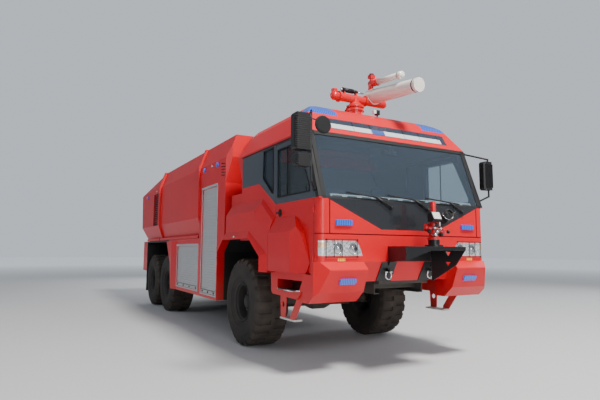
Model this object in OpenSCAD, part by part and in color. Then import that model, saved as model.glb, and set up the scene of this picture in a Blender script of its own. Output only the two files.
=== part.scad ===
/* [Overall] */
// Half width over the cab side panels
cab_half = 1450; // [1300:10:1560]
// Half width over the body sides
body_half = 1500; // [1400:10:1600]
// Length of the body, from the cab face to the tail
tail_s = 10770; // [10500:10:11500]
// How far the ladder stands off behind the tail
ladder_reach = 110; // [80:5:160]
// How far the turret tray reaches ahead of the cab face
tray_reach = 500; // [460:5:600]

/* [Wheels] */
// Outside diameter of a tyre
tyre_d = 1400; // [1300:10:1440]
// Width of a tyre
tyre_w = 590; // [500:10:600]
// Distance from the centreline to the middle of a tyre
track_half = 1190; // [1180:5:1220]
// Front axle, behind the cab face
front_axle_s = 2450; // [2430:5:2480]
// First rear axle, behind the cab face
mid_axle_s = 7500; // [7480:5:7600]
// Second rear axle, behind the cab face
rear_axle_s = 9100; // [9060:5:9140]
// Radius of the rim inside the tyre bead
rim_r = 285; // [270:5:300]
// Radius of the hub spindles
spindle_r = 45; // [40:1:55]
// Running clearance of a pin in its bore
fit = 0.06; // [0.02:0.01:0.09]
// Distance from the centreline to the king pins
king_y = 1000; // [985:5:1010]
// Radius of the king pins
king_r = 24; // [20:1:30]
// Lugs in each of the two rows round a tyre
lug_count = 24; // [20:2:26]
// Height of the lugs above the tyre's carcass
lug_h = 22; // [16:1:26]

/* [Chassis] */
// Height of the underside of the frame rails
rail_z = 960; // [940:5:980]
// Depth of the frame rails
rail_h = 280; // [240:5:300]
// Half width over the frame rails
rail_half = 430; // [400:5:450]
// Width of a rail's flange
rail_flange = 85; // [70:5:100]
// Thickness of the rail steel
rail_t = 10; // [8:1:14]

/* [Cab] */
// Thickness of the cab walls and doors
wall = 50; // [40:1:60]
// Height of the cab floor's underside
floor_z = 1250; // [1245:1:1270]
// Station of the outside of the cab's rear wall
cab_back_s = 2730; // [2700:5:2760]
// Height of the foot of the windscreen
waist_z = 2190; // [2150:5:2230]
// Height of the eaves, where roof and sides meet
eaves_z = 3125; // [3100:5:3150]
// Station of the windscreen's top edge
screen_top_s = 340; // [300:5:380]
// Height of the roof's flat top
roof_z = 3600; // [3560:5:3640]
// Station where a door ends
door_back_s = 1200; // [1180:5:1220]
// Gap round a door
door_gap = 6; // [5:0.5:8]
// How far the door box and fenders stand out
bulge = 125; // [110:5:130]
// How far the flare round the front arch stands out past the fender
flare = 60; // [40:5:80]

/* [Body] */
// Height of the crease where the sides lean in
crease_z = 3230; // [3200:5:3260]
// Height of the body's top edge
top_z = 3640; // [3600:5:3700]
// How far the top edge lies inboard of the side
lean = 150; // [120:5:180]
// Station of the front face of the body
body_front_s = 3190; // [3160:5:3220]
// Station of the first rib, behind the tall shutter
rib1_s = 4690; // [4670:5:4720]
// Station of the second rib, ahead of the rear body
rib2_s = 8200; // [8150:10:8260]
// Height of the low edge of the body above the wheels
sill_z = 1780; // [1760:5:1800]
// Height of the swage line
swage_z = 2205; // [2180:5:2240]
// Height of the bottom of the lockers
locker_z = 620; // [600:5:640]
// How far the ribs stand proud of the body
rib_out = 40; // [25:5:50]
// Pitch of the slats in a shutter
slat_pitch = 50; // [40:5:70]

/* [Monitor] */
// Station of the roof monitor
monitor_s = 1320; // [1280:5:1360]
// Height of the roof monitor's barrel pivot
monitor_z = 4030; // [4010:5:4060]
// Length of the monitor barrel
barrel_len = 1130; // [950:10:1150]
// Radius of the monitor barrel
barrel_r = 120; // [100:5:130]
// Station of the bumper turret, negative is ahead of the cab face
turret_s = -290; // [-300:5:-280]
// Offset of the bumper turret to the left
turret_y = 150; // [120:5:170]

/* [Hidden] */
$fn = 48;
red = "crimson";
dark = [0.13, 0.14, 0.16];
overall = tray_reach + tail_s + ladder_reach;
face_x = overall / 2 - tray_reach;
axle_z = tyre_d / 2;
rail_top = rail_z + rail_h;
seat_gap = 0.4;
monitor_y = 40;
door_front_s = 130;
door_low_z = 1240;
door_foot_z = floor_z + door_gap;

// A block between two stations behind the cab face, two widths and two heights
module block(s0, s1, y0, y1, z0, z1)
    translate([face_x - s1, y0, z0]) cube([s1 - s0, y1 - y0, z1 - z0]);

// An outline in [station, height], from y0 to y1
module side_plate(pts, y0, y1)
    translate([face_x, y1, 0]) rotate([90, 0, 0]) linear_extrude(y1 - y0)
        polygon([for (p = pts) [-p[0], p[1]]]);

// An outline in [width, height], from station s0 back to s1
module cross_plate(pts, s0, s1)
    translate([face_x - s1, 0, 0]) rotate([90, 0, 90]) linear_extrude(s1 - s0) polygon(pts);

// An outline in [station, width], from z0 up to z1
module floor_plate(pts, z0, z1)
    translate([face_x, 0, z0]) linear_extrude(z1 - z0) polygon([for (p = pts) [-p[0], p[1]]]);

// A round bar along the width
module bar_y(s, y0, y1, z, r)
    translate([face_x - s, y1, z]) rotate([90, 0, 0]) cylinder(h = y1 - y0, r = r);

// A round bar along the length
module bar_x(s0, s1, y, z, r)
    translate([face_x - s1, y, z]) rotate([0, 90, 0]) cylinder(h = s1 - s0, r = r);

// A round bar upright
module bar_z(s, y, z0, z1, r)
    translate([face_x - s, y, z0]) cylinder(h = z1 - z0, r = r);

// A straight round bar between two points given as [station, width, height]
module rod(a, b, r) {
    d = [a[0] - b[0], b[1] - a[1], b[2] - a[2]];
    len = norm(d);
    translate([face_x - a[0], a[1], a[2]])
        rotate([0, acos(d[2] / len), atan2(d[1], d[0])]) cylinder(h = len, r = r);
}

module both_sides() {
    children();
    mirror([0, 1, 0]) children();
}

// Both halves of a symmetric outline, from its right half listed bottom to top
function whole(half) = concat([for (p = half) [-p[0], p[1]]],
    [for (i = [len(half) - 1 : -1 : 0]) half[i]]);

module chassis_frame() {
    color(dark) {
        // Rails, open channels that face each other
        both_sides() difference() {
            block(rail_front_s, tail_s - 300, rail_half - rail_flange, rail_half, rail_z, rail_top);
            block(rail_front_s - 1, tail_s - 290, rail_half - rail_flange - 1, rail_half - rail_t,
                rail_z + rail_t, rail_top - rail_t);
        }
        for (s = cross_s) crossmember(s);
        // Tow hitch at the tail
        difference() {
            block(tail_s - 300, tail_s - 270, -rail_half, rail_half, rail_z, rail_top);
            bar_x(tail_s - 301, tail_s - 269, 0, rail_z + 100, hitch_r);
        }
        both_sides() {
            for (s = [front_axle_s - leaf_half, front_axle_s + leaf_half]) spring_bracket(s);
            bogie_bracket();
            // Cab mounts, low ones under the floor and tall ones behind the wheels
            for (s = [400, 1350])
                block(s - 60, s + 60, rail_half - rail_flange, rail_half, rail_top, floor_z - seat_gap);
            block(cab_low_back_s - 150, cab_low_back_s - 30, rail_half - rail_flange, rail_half, rail_top,
                arch_top_z - seat_gap);
        }
        // Front crossmember that carries the bumper
        block(bump_foot_s + seat_gap, rail_front_s, -rail_half, rail_half, rail_top - 140, rail_top);
    }
}
rail_front_s = 250;
cross_s = [460, 1500, 3600, 5200, 6600, 8300, 10200];
hitch_r = 25;
// Crossmember, a channel that opens to the rear
module crossmember(s) {
    y = rail_half - rail_t;
    difference() {
        block(s - 60, s + 60, -y, y, rail_z + 60, rail_z + 200);
        block(s - 60 + rail_t, s + 61, -y - 1, y + 1, rail_z + 60 + rail_t, rail_z + 200 - rail_t);
    }
}
// Two cheeks and a pin that hold the eye at the end of a front spring
module spring_bracket(s) {
    for (y = [spring_y - spring_w / 2 - 12, spring_y + spring_w / 2 + 2])
        side_plate([[s - 50, rail_z + 1], [s - 34, eye_z - 36], [s + 34, eye_z - 36], [s + 50, rail_z + 1]],
            y, y + 10);
    bar_y(s, spring_y - spring_w / 2 - 3, spring_y + spring_w / 2 + 3, eye_z, eye_pin_r);
}
// Bracket under each rail that the rear springs rock on
module bogie_bracket() {
    s = (mid_axle_s + rear_axle_s) / 2;
    side_plate([[s - 190, rail_z + 1], [s - 90, bogie_z + 1], [s + 90, bogie_z + 1], [s + 190, rail_z + 1]],
        rail_half - rail_flange, rail_half);
}

spring_w = 60;
spring_y = rail_half - rail_flange / 2;
axle_pad = 880;
leaf_t = 12;
leaf_half = 720;
front_leaves = 5;
front_rise = 8;
eye_r = 24;
eye_pin_r = 12;
eye_z = axle_pad + front_leaves * leaf_t + front_rise - eye_r;
bogie_half = 900;
bogie_leaves = 8;
bogie_rise = 68;
bogie_z = axle_pad - 30;
// Outline of a leaf pack: the long leaf bends up by a square law, shorter ones step in below it
function leaf_pack(mid, half, top, rise, count) = concat(
    [for (k = [-count : count]) [mid + half * k / count, top + rise * k * k / count / count]],
    [for (i = [0 : count - 1], d = [0, 1]) leaf_end(mid, half, top, rise, count, i, d, 1)],
    [for (i = [count - 1 : -1 : 0], d = [1, 0]) leaf_end(mid, half, top, rise, count, i, d, -1)]);
function leaf_end(mid, half, top, rise, count, i, d, way) = let (u = (count - i) / count)
    [mid + way * half * u, top + rise * u * u - leaf_t * (i + d) - (d == 0 && i == 0 ? 0.01 : 0)];
module springs() {
    y0 = spring_y - spring_w / 2;
    y1 = spring_y + spring_w / 2;
    color([0.1, 0.1, 0.11]) both_sides() {
        // Front leaf packs with an eye at each end
        difference() {
            union() {
                side_plate(leaf_pack(front_axle_s, leaf_half, axle_pad + front_leaves * leaf_t, front_rise,
                    front_leaves), y0, y1);
                for (s = [-leaf_half, leaf_half]) bar_y(front_axle_s + s, y0, y1, eye_z, eye_r);
            }
            for (s = [-leaf_half, leaf_half]) bar_y(front_axle_s + s, y0 - 1, y1 + 1, eye_z,
                eye_pin_r + seat_gap);
        }
        // Clamp over each front pack
        for (s = [-75, 75])
            block(front_axle_s + s - 10, front_axle_s + s + 10, y0 - 14, y1 + 14,
                axle_pad + front_leaves * leaf_t - 1, axle_pad + front_leaves * leaf_t + 14);
        // Rear packs, rocking between the two rear axles
        side_plate(leaf_pack((mid_axle_s + rear_axle_s) / 2, bogie_half, bogie_z - seat_gap + 0.3, bogie_rise,
            bogie_leaves), y0, y1);
    }
}

beam_r = 85;
diff_r = 185;
nose_reach = diff_r + 80;
king_h = 150;
function mirrored(half) = concat(half, [for (i = [len(half) - 1 : -1 : 0]) [half[i][0], -half[i][1]]]);
// A body turned about an axle's line, from its right half as [radius, width], outermost first
module turned(s, half)
    translate([face_x - s, 0, axle_z]) rotate([-90, 0, 0]) rotate_extrude() polygon(mirrored(half));

// Axle housing: tubes that swell to the differential, its nose and the spring pads
module axle_housing(s, half, nose, pad_z) {
    turned(s, concat(half, [[beam_r, 330], [beam_r + 40, 250], [diff_r - 12, 150], [diff_r, 110]]));
    a = nose > 0 ? s : s - nose_reach;
    bar_x(a, a + nose_reach, 0, axle_z, 82);
    bar_x(nose > 0 ? s : s - diff_r - 20, nose > 0 ? s + diff_r + 20 : s, 0, axle_z, 125);
    both_sides() block(s - 95, s + 95, spring_y - 50, spring_y + 50, axle_z, pad_z);
}

module front_axle() {
    color(dark) difference() {
        union() {
            axle_housing(front_axle_s, [[0, king_y - 40], [beam_r - 25, king_y - 40],
                [beam_r - 25, king_y - 190], [beam_r, king_y - 230]], 1, axle_pad);
            both_sides() bar_z(front_axle_s, king_y, axle_z - king_h / 2, axle_z + king_h / 2, 65);
        }
        both_sides() bar_z(front_axle_s, king_y, axle_z - king_h, axle_z + king_h, king_r + fit);
    }
}

module rear_axles() {
    color(dark) for (s = [mid_axle_s, rear_axle_s])
        axle_housing(s, [[0, hub_end_y], [spindle_r, hub_end_y], [spindle_r, hub_in_y - seat_gap],
            [beam_r + 35, hub_in_y - seat_gap], [beam_r + 35, hub_in_y - 60], [beam_r, hub_in_y - 90]], -1,
            axle_pad - leaf_t);
}
hub_in_y = king_y + 115;
hub_end_y = hub_in_y + 150;

shaft_r = 48;
transfer_s = [5000, 5500];
// A drive shaft with a flange, a joint and a sliding sleeve, between [station, height] points
module drive_shaft(a, b) {
    for (p = [[a[0], a[1], 0], [b[0] - 26, b[1], 1]]) bar_x(p[0], p[0] + 26, 0, p[1], 70);
    for (p = [[a[0] + 70, a[1]], [b[0] - 70, b[1]]]) {
        bar_y(p[0], -62, 62, p[1], 24);
        block(p[0] - 60, p[0] + 60, -46, 46, p[1] - 30, p[1] + 30);
    }
    rod([a[0] + 80, 0, a[1]], [b[0] - 80, 0, b[1]], shaft_r - 8);
    mid = 0.4;
    rod([a[0] + 110, 0, a[1] + (b[1] - a[1]) * 0.05],
        [a[0] + (b[0] - a[0]) * mid, 0, a[1] + (b[1] - a[1]) * mid], shaft_r);
}
module drive_shafts() {
    low = rail_z - 120;
    nose = nose_reach + seat_gap;
    color([0.16, 0.16, 0.17]) {
        // Transfer box under the frame
        block(transfer_s[0], transfer_s[1], -250, 250, rail_z - 200, rail_z + 50);
        bar_x(transfer_s[0] + 60, transfer_s[1] - 60, 0, low, 175);
        for (s = [transfer_s[0] + 60, transfer_s[1] - 90]) bar_x(s, s + 30, -90, rail_z - 10, 95);
        drive_shaft([front_axle_s + nose, axle_z], [transfer_s[0] + 1, low]);
        drive_shaft([transfer_s[1] - 1, low], [mid_axle_s - nose, axle_z]);
        drive_shaft([mid_axle_s + diff_r + seat_gap, axle_z], [rear_axle_s - nose, axle_z]);
    }
}

module engine_block() {
    color([0.25, 0.25, 0.27]) block(8900, 10300, -330, 330, rail_z + 200 + seat_gap, rail_top + 900);
}

// Steering knuckle on its king pin; side is 1 at the left
module knuckle(side) {
    z = axle_z;
    gap = seat_gap;
    low = z - king_h / 2 - gap;
    high = z + king_h / 2 + gap;
    color(dark) on_side(side) {
        bar_z(front_axle_s, king_y, low - 34, high + 34, king_r);
        for (zz = [low - 34, high])
            floor_plate([[front_axle_s - 70, king_y - 60], [front_axle_s + 70, king_y - 60],
                [front_axle_s + 70, king_y + 110], [front_axle_s - 70, king_y + 110]], zz, zz + 34);
        block(front_axle_s - 70, front_axle_s + 70, king_y + 75, king_y + 110, low - 34, high + 34);
        bar_y(front_axle_s, king_y + 109, hub_end_y, z, spindle_r);
        // Steering arm, back and inboard to the track rod
        difference() {
            floor_plate([[front_axle_s + 10, king_y - 50], [front_axle_s + 10, king_y - 110],
                [front_axle_s + arm_back - 20, arm_y - 34], [front_axle_s + arm_back + 34, arm_y - 30],
                [front_axle_s + arm_back + 34, arm_y + 32], [front_axle_s + 66, king_y - 50]],
                low - 34, low - 9);
            bar_z(front_axle_s + arm_back, arm_y, low - 40, low, rod_pin_r);
        }
    }
}
module on_side(side) {
    if (side > 0) children();
    else mirror([0, 1, 0]) children();
}
arm_back = 300;
arm_y = 855;
rod_pin_r = 14;
rod_eye_r = 34;
rod_drop = 32;
module knuckle_left() knuckle(1);
module knuckle_right() knuckle(-1);

module track_rod() {
    low = axle_z - king_h / 2 - seat_gap - 34;
    color(dark) {
        bar_y(front_axle_s + arm_back, -arm_y + 30, arm_y - 30, low - rod_drop, 22);
        both_sides() bar_z(front_axle_s + arm_back, arm_y, low - rod_drop - 22, low - seat_gap, rod_eye_r);
    }
}

disc_out = 80;
hand_holes = 8;
lug_share = 0.58;
// Right side of the tyre as [radius, width], from the rim's lip over the side wall to the tread
function tyre_side(drop) = let (r = tyre_d / 2, w = tyre_w / 2) [[rim_r + 23, w - 36],
    [rim_r + 34, w - 36], [rim_r + 34, w - 50], [rim_r + 110, w - 8], [r - 165, w], [r - 80, w - 14],
    [r - drop - 12, w - 46 - drop / 2], [r - drop, w - 76]];
function flip(pts) = [for (p = pts) [p[0], -p[1]]];
function back(pts) = [for (i = [len(pts) - 1 : -1 : 0]) pts[i]];
// One row of lugs as a toothed bar through the tyre
module lug_row(y0, y1, turn) {
    r = tyre_d / 2;
    step = 360 / lug_count;
    half = step * lug_share / 2;
    translate([0, 0, y0]) rotate(turn) linear_extrude(y1 - y0)
        polygon([for (i = [0 : lug_count - 1],
            p = [[r - 90, -half - 1], [r + 9, -half], [r + 9, half], [r - 90, half + 1]])
            [p[0] * cos(i * step + p[1]), p[0] * sin(i * step + p[1])]]);
}
// Wheel about its own axis: tyre, rim and hub, turned, then the lugs and the hand holes
module wheel(s, side) {
    w = tyre_w / 2;
    r = tyre_d / 2;
    inner = hub_in_y + seat_gap - track_half;
    tip = hub_end_y + 1 - track_half;
    wall_pts = tyre_side(lug_h);
    lug_pts = [for (p = tyre_side(0)) if (p[0] > r - 100) p];
    color([0.07, 0.07, 0.07]) on_side(side)
        translate([face_x - s, track_half, axle_z]) rotate([-90, 0, 0]) {
            difference() {
                rotate_extrude($fn = 96) polygon(concat([[spindle_r + fit, inner], [150, inner],
                    [150, disc_out - 30], [rim_r - 12, disc_out - 30], [rim_r - 12, -w + 90],
                    [rim_r + 6, -w + 72], [rim_r + 6, -w + 50]], flip(wall_pts), back(wall_pts),
                    [[rim_r + 6, w - 50], [rim_r + 6, w - 72], [rim_r - 12, w - 90], [rim_r - 12, disc_out],
                    [190, disc_out], [165, disc_out + 30], [120, disc_out + 30], [100, disc_out + 90],
                    [60, disc_out + 110], [0, disc_out + 110], [0, tip], [spindle_r + fit, tip]]));
                for (a = [0.5 : hand_holes]) rotate(a * 360 / hand_holes)
                    translate([rim_r - 57, 0, disc_out - 31]) cylinder(h = 32, r = 24);
            }
            intersection() {
                rotate_extrude($fn = 96)
                    polygon(concat([[r - 110, -w + 30]], flip(lug_pts), back(lug_pts), [[r - 110, w - 30]]));
                union() {
                    lug_row(-30, w, 0);
                    lug_row(-w, 30, 180 / lug_count);
                }
            }
        }
}
module wheel_front_left() wheel(front_axle_s, 1);
module wheel_front_right() wheel(front_axle_s, -1);
module wheel_mid_left() wheel(mid_axle_s, 1);
module wheel_mid_right() wheel(mid_axle_s, -1);
module wheel_rear_left() wheel(rear_axle_s, 1);
module wheel_rear_right() wheel(rear_axle_s, -1);

// Cab floor with the arch tops over the front wheels, and the rear wall
arch_top_z = 1700;
arch_mid_z = 1450;
// Stations where the inner edge of the arch stands upright and where it meets the top
arch_s = [front_axle_s - 730, front_axle_s - 340];
arch_front_s = 1560;
tub_front_s = door_front_s;
// The cab's rear edge leans in from the eaves to a pinch, then runs down
cab_low_back_s = cab_back_s - 180;
pinch_s = cab_back_s - 230;
pinch_z = eaves_z - 435;
module cab_tub() {
    y = cab_half - wall;
    color(red) {
        // Floor, kept clear of the doors
        block(tub_front_s, arch_front_s + wall, -y + door_gap, y - door_gap, floor_z, floor_z + wall);
        // Step up over the wheels
        side_plate([[arch_front_s, floor_z], [arch_front_s, arch_top_z + wall],
            [cab_low_back_s, arch_top_z + wall], [cab_low_back_s, arch_top_z],
            [arch_front_s + wall, arch_top_z], [arch_front_s + wall, floor_z]], -y, y);
        side_plate([[cab_low_back_s - wall, arch_top_z], [pinch_s - wall, pinch_z], [cab_back_s - wall,
            eaves_z],
            [cab_back_s, eaves_z], [pinch_s, pinch_z], [cab_low_back_s, arch_top_z]], -y, y);
    }
}

// Front wall below the windscreen, with rounded corners and the lamp shelf
corner_r = 90;
seam_z = 1750;
front_low_z = 1400;
module rounded_front(s_back, half, r) {
    floor_2d = concat([[s_back, -half], [s_back, half]],
        [for (a = [0 : 15 : 90]) [r - r * sin(a), half - r + r * cos(a)]],
        [for (a = [90 : -15 : 0]) [r - r * sin(a), -half + r - r * cos(a)]]);
    polygon([for (p = floor_2d) [-p[0], p[1]]]);
}
module cab_front() {
    color(red) {
        difference() {
            translate([face_x, 0, front_low_z]) linear_extrude(waist_z - front_low_z)
                rounded_front(door_front_s - door_gap, cab_half, corner_r);
            translate([face_x, 0, front_low_z - 1]) linear_extrude(waist_z - front_low_z + 2)
                polygon([[-wall, -cab_half + wall], [-wall, cab_half - wall],
                    [-door_front_s, cab_half - wall], [-door_front_s, -cab_half + wall]]);
            // Pockets for the headlamps and for the nose panel
            both_sides() headlamp_block(0);
            nose_block(0);
            // Seam all round above the lamps, and an upright one inboard of each rounded corner
            translate([face_x, 0, seam_z - seam_w / 2]) linear_extrude(seam_w) difference() {
                translate([10, 0]) square([40, 2 * cab_half + 10], center = true);
                translate([-seam_d, 0]) rounded_front(door_front_s, cab_half - seam_d, corner_r - seam_d);
            }
            both_sides() block(-1, seam_d, seam_y - seam_w / 2, seam_y + seam_w / 2, seam_z, waist_z + 1);
        }
        both_sides() cab_hinges();
    }
}

seam_w = 8;
seam_d = 6;
seam_y = cab_half - 154;
nose_t = 14;
corner_w = 120;
nose_low_z = seam_z + 70;
// Black panel under the windscreen, a wide shallow trapezoid
module nose_block(clear) {
    c = clear;
    cross_plate([[-490 - c, nose_low_z - c], [490 + c, nose_low_z - c],
        [cab_half - corner_w + c, waist_z + 1], [-cab_half + corner_w - c, waist_z + 1]], -1, nose_t);
}
module nose_panel() {
    color([0.04, 0.04, 0.05]) intersection() {
        nose_block(-seat_gap);
        block(0, nose_t - seat_gap, -cab_half, cab_half, front_low_z, waist_z);
    }
}

lamp_in_y = 800;
lamp_low_z = 1475;
lamp_high_z = 1665;
module headlamp_block(clear) {
    c = clear;
    y0 = lamp_in_y + c;
    cross_plate([[y0, lamp_low_z + c], [cab_half + 1, lamp_low_z + c], [cab_half + 1, lamp_high_z - c],
        [y0 + 96, lamp_high_z - c], [y0 + 60, lamp_high_z - 40], [y0 + 16, lamp_low_z + 60]],
        -1, lamp_deep - c);
}
lamp_deep = 45;
guard_y = [lamp_in_y + 88, lamp_in_y + 319, lamp_in_y + 436, lamp_in_y + 554];
// Lenses flush with the rounded front, each behind a guard of wires on pins
module headlamps() {
    color([0.8, 0.85, 0.9]) {
        both_sides() difference() {
            intersection() {
                headlamp_block(seat_gap);
                translate([face_x, 0, 1000]) linear_extrude(1500) rounded_front(300, cab_half, corner_r);
            }
            // Round bowls pressed into the lens
            for (y = [lamp_in_y + 150, lamp_in_y + 375]) bar_x(-1, 3, y, (lamp_low_z + lamp_high_z) / 2, 74);
        }
        both_sides() {
            last = len(guard_y) - 1;
            for (z = [lamp_low_z - 12, lamp_high_z + 12]) {
                bar_y(-16, guard_y[0], guard_y[last], z, 4);
                for (y = [guard_y[0], guard_y[last]]) bar_x(-20, -seat_gap, y, z, 8);
            }
            for (y = guard_y) bar_z(-16, y, lamp_low_z - 12, lamp_high_z + 12, 4);
        }
        // Round side lamps on the body and one on each flare
        both_sides() {
            for (l = white_lamps) bar_y(l[0], body_half + seat_gap, body_half + 16, l[1], 24);
            bar_y(front_axle_s - 60, cab_half + bulge + flare * 0.8, cab_half + bulge + flare + 8,
                fender_arch_z + 42, 16);
        }
    }
}
// Side lamps as [station, height]
white_lamps = [[3950, 3170], [8760, 3180]];
blue_side = [[3610, 3150], [4390, 3150], [9940, 3105]];

// Cab side: window band, pillars, the panel behind the door and the wheel fender
roof_back_s = cab_back_s - 330;
screen_slope = screen_top_s / (eaves_z - waist_z);
function screen_s(z) = (z - waist_z) * screen_slope;
module side_wall() {
    s1 = door_back_s + door_gap;
    y0 = cab_half - wall;
    difference() {
        side_plate([[0, waist_z], [screen_top_s, eaves_z], [cab_back_s, eaves_z], [pinch_s, pinch_z],
            [cab_low_back_s, arch_top_z], [arch_s[1], arch_top_z], [arch_s[0], arch_mid_z], [arch_s[0],
                floor_z],
            [s1, floor_z], [s1, eaves_z - 55],
            [door_front_s + screen_s(eaves_z - 55) + 20, eaves_z - 55],
            [door_front_s - door_gap, waist_z + 60], [door_front_s - door_gap, waist_z]],
            y0, cab_half);
        // Quarter window behind the door
        quarter_pane(0, y0 - 1, cab_half + 1);
    }
    // Inner skin behind the fender, which closes the gap to the body up to a ledge
    side_plate([[cab_low_back_s - 20, fender_arch_z + 4], [cab_low_back_s - 40, ledge_z],
        [body_front_s - 150, ledge_z],
        [body_front_s - 150, 2080], [fender_back_s - 5, fender_arch_z + 4]], y0 + 2, y0 + 28);
    fender();
    arch_flare();
}
module quarter_pane(clear, y0, y1) {
    c = clear;
    s1 = door_back_s + door_gap;
    side_plate([[s1 + 90 + c, eaves_z - 75 - c], [s1 + 425 - c, eaves_z - 75 - c],
        [s1 + 445 - c, 2655], [s1 + 420 - c, 2612], [s1 + 120, 2376 + c], [s1 + 90 + c, 2376 + c]], y0, y1);
}
fender_top_z = 2325;
fender_crease_z = 2128;
fender_low_z = 1230;
fender_back_s = front_axle_s + 460;
fender_arch_z = 1716;
ledge_z = 2500;
// Corners of the arch opening, and of the flare's outer edge, as [station, height]
arch_cut = [[front_axle_s - 1076, fender_low_z - 60], [front_axle_s - 1076, 1457],
    [front_axle_s - 656, fender_arch_z], [fender_back_s + 300, fender_arch_z],
    [fender_back_s + 300, fender_low_z - 60]];
flare_edge = [[door_back_s + 48, fender_low_z], [door_back_s + 48, 1494], [front_axle_s - 548, 1838]];
// The fender's front rises on a slant from the door box to its top
slant_low = [door_back_s + 58, 1800];
slant_high = [front_axle_s - 721, 2135];
// Keeps what lies under a slanted facet: section in [width, rise over the line from a to b]
module under_slant(a, b, section)
    translate([face_x - b[0], 0, b[1]])
        rotate([0, atan((b[1] - a[1]) / (b[0] - a[0])), 0]) translate([-3000, 0, 0])
            rotate([90, 0, 90]) linear_extrude(6000) polygon(section);
module fender() {
    y0 = cab_half - 2;
    y1 = cab_half + bulge;
    difference() {
        intersection() {
            side_plate([[door_back_s + 10, fender_low_z], [door_back_s + 10, 2012], [front_axle_s - 817,
                fender_top_z],
                [fender_back_s, fender_top_z], [fender_back_s, fender_low_z]], y0, y1);
            cross_plate([[y0 - 1, 1100], [y1, 1100], [y1, fender_crease_z], [cab_half, fender_top_z],
                [y0 - 1, fender_top_z]], 1100, 3150);
            under_slant(slant_low, slant_high, [[y0 - 1, -1500], [y1 + 1, -1500], [y1, 0],
                [cab_half + 50, 163], [cab_half, 200], [y0 - 1, 200]]);
        }
        side_plate(arch_cut, y0 - 1, y1 + 1);
    }
    // Behind the cab the fender reaches in to the inner skin
    side_plate([[cab_low_back_s - 20, fender_arch_z + 4], [cab_low_back_s - 20, fender_top_z - 30],
        [fender_back_s - 5, fender_top_z - 30], [fender_back_s - 5, fender_arch_z + 4]],
            cab_half - wall + 27, y0 + 1);
}
// Flare round the arch: three facets that rise from its outer edge to the opening
module arch_flare() {
    y1 = cab_half + bulge;
    y2 = y1 + flare;
    difference() {
        intersection() {
            side_plate(concat(flare_edge, [[fender_back_s, flare_edge[2][1]], [fender_back_s, fender_low_z]]),
                y1 - 1, y2);
            cross_plate([[y1 - 1, 1000], [y1 - 1, flare_edge[2][1] + 2], [y1, flare_edge[2][1]],
                [y2, fender_arch_z], [y2, 1000]], 1000, 3100);
            floor_plate([[flare_edge[0][0] - 2, y1 - 1], [flare_edge[0][0], y1], [arch_cut[0][0], y2],
                [3100, y2], [3100, y1 - 1]], 1000, 2000);
            under_slant(flare_edge[1], flare_edge[2], [[y1 - 1, -2000], [y2, -2000], [y2, -75], [y1, 0],
                [y1 - 1, 2]]);
        }
        side_plate(arch_cut, y1 - 2, y2 + 1);
    }
}
module cab_side_left() color(red) side_wall();
module cab_side_right() color(red) mirror([0, 1, 0]) side_wall();

// Roof cap, a hipped shell: the section across, cut by the outline along
shoulder_y = 1180;
module roof_form(t) {
    intersection() {
        cross_plate(whole([[cab_half - t, eaves_z], [shoulder_y + 90 - t / 2, roof_z - 130 - t],
            [shoulder_y - t / 2, roof_z - 35 - t], [shoulder_y - 130, roof_z - t]]), -100, 3000);
        side_plate([[screen_top_s + t, eaves_z], [620 + t, roof_z - 90 - t], [760 + t, roof_z - t],
            [roof_back_s - t, roof_z - t], [cab_back_s - 60 - t, roof_z - 220 - t],
            [cab_back_s - t, eaves_z]], -2000, 2000);
    }
}
module cab_roof() {
    color(red) difference() {
        roof_form(0);
        translate([0, 0, -1]) roof_form(wall);
        light_recess(0);
        both_sides() beacon_form(0);
    }
}

// Slot across the brow of the roof for the light bar
module light_recess(clear) {
    c = clear;
    side_plate([[screen_top_s - 50, 3200 + c], [screen_top_s + 100 - c, 3200 + c],
        [screen_top_s + 195 - c, 3370 - c], [screen_top_s - 50, 3370 - c]], -1150 + c, 1150 - c);
}
// The bar's front stands in the slot, split by grooves into its lamps
bar_splits = [-1000, -620, -310, 310, 620, 1000];
module light_bar() {
    color([0.75, 0.8, 0.9]) difference() {
        intersection() {
            light_recess(seat_gap);
            side_plate([[screen_top_s + 62, 3201], [screen_top_s + 160, 3369], [screen_top_s + 400, 3369],
                [screen_top_s + 400, 3201]], -1200, 1200);
        }
        for (y = bar_splits) side_plate([[screen_top_s + 40, 3190], [screen_top_s + 72, 3190],
            [screen_top_s + 176, 3380], [screen_top_s + 130, 3380]], y - 5, y + 5);
    }
}

// Blue beacon let into each front corner of the roof
module beacon_form(clear) {
    c = clear;
    block(540 + c, 830 - c, 800 + c, 1300, 3440 + c, 3700);
}
module blue_lamps() {
    color("mediumblue") {
        both_sides() intersection() {
            beacon_form(seat_gap);
            roof_form(0);
        }
        // Flashers on the front panel and on the bumper corners
        both_sides() flasher(-seat_gap, -seat_gap, 1090, front_flash_z);
        both_sides() flasher(bump_face_s(bump_flash_z - 42) - 1, bump_face_s(bump_flash_z + 42) - 1,
            1065, bump_flash_z);
        // Round flashers high on the body sides
        both_sides() for (l = blue_side) bar_y(l[0], body_half + seat_gap, body_half + 30, l[1], 45);
    }
}
front_flash_z = 1892;
bump_flash_z = 1158;
// Flasher with clipped corners on a face whose stations at its low and high edge are given
module flasher(s_low, s_high, y, z) {
    intersection() {
        side_plate([[s_low, z - 42], [s_high, z + 42], [s_high - 24, z + 34], [s_low - 24, z - 34]],
            y - 124, y + 124);
        cross_plate([[y - 124, z - 24], [y - 106, z - 42], [y + 106, z - 42], [y + 124, z - 24],
            [y + 124, z + 24], [y + 106, z + 42], [y - 106, z + 42], [y - 124, z + 24]], -400, 200);
    }
}

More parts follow.
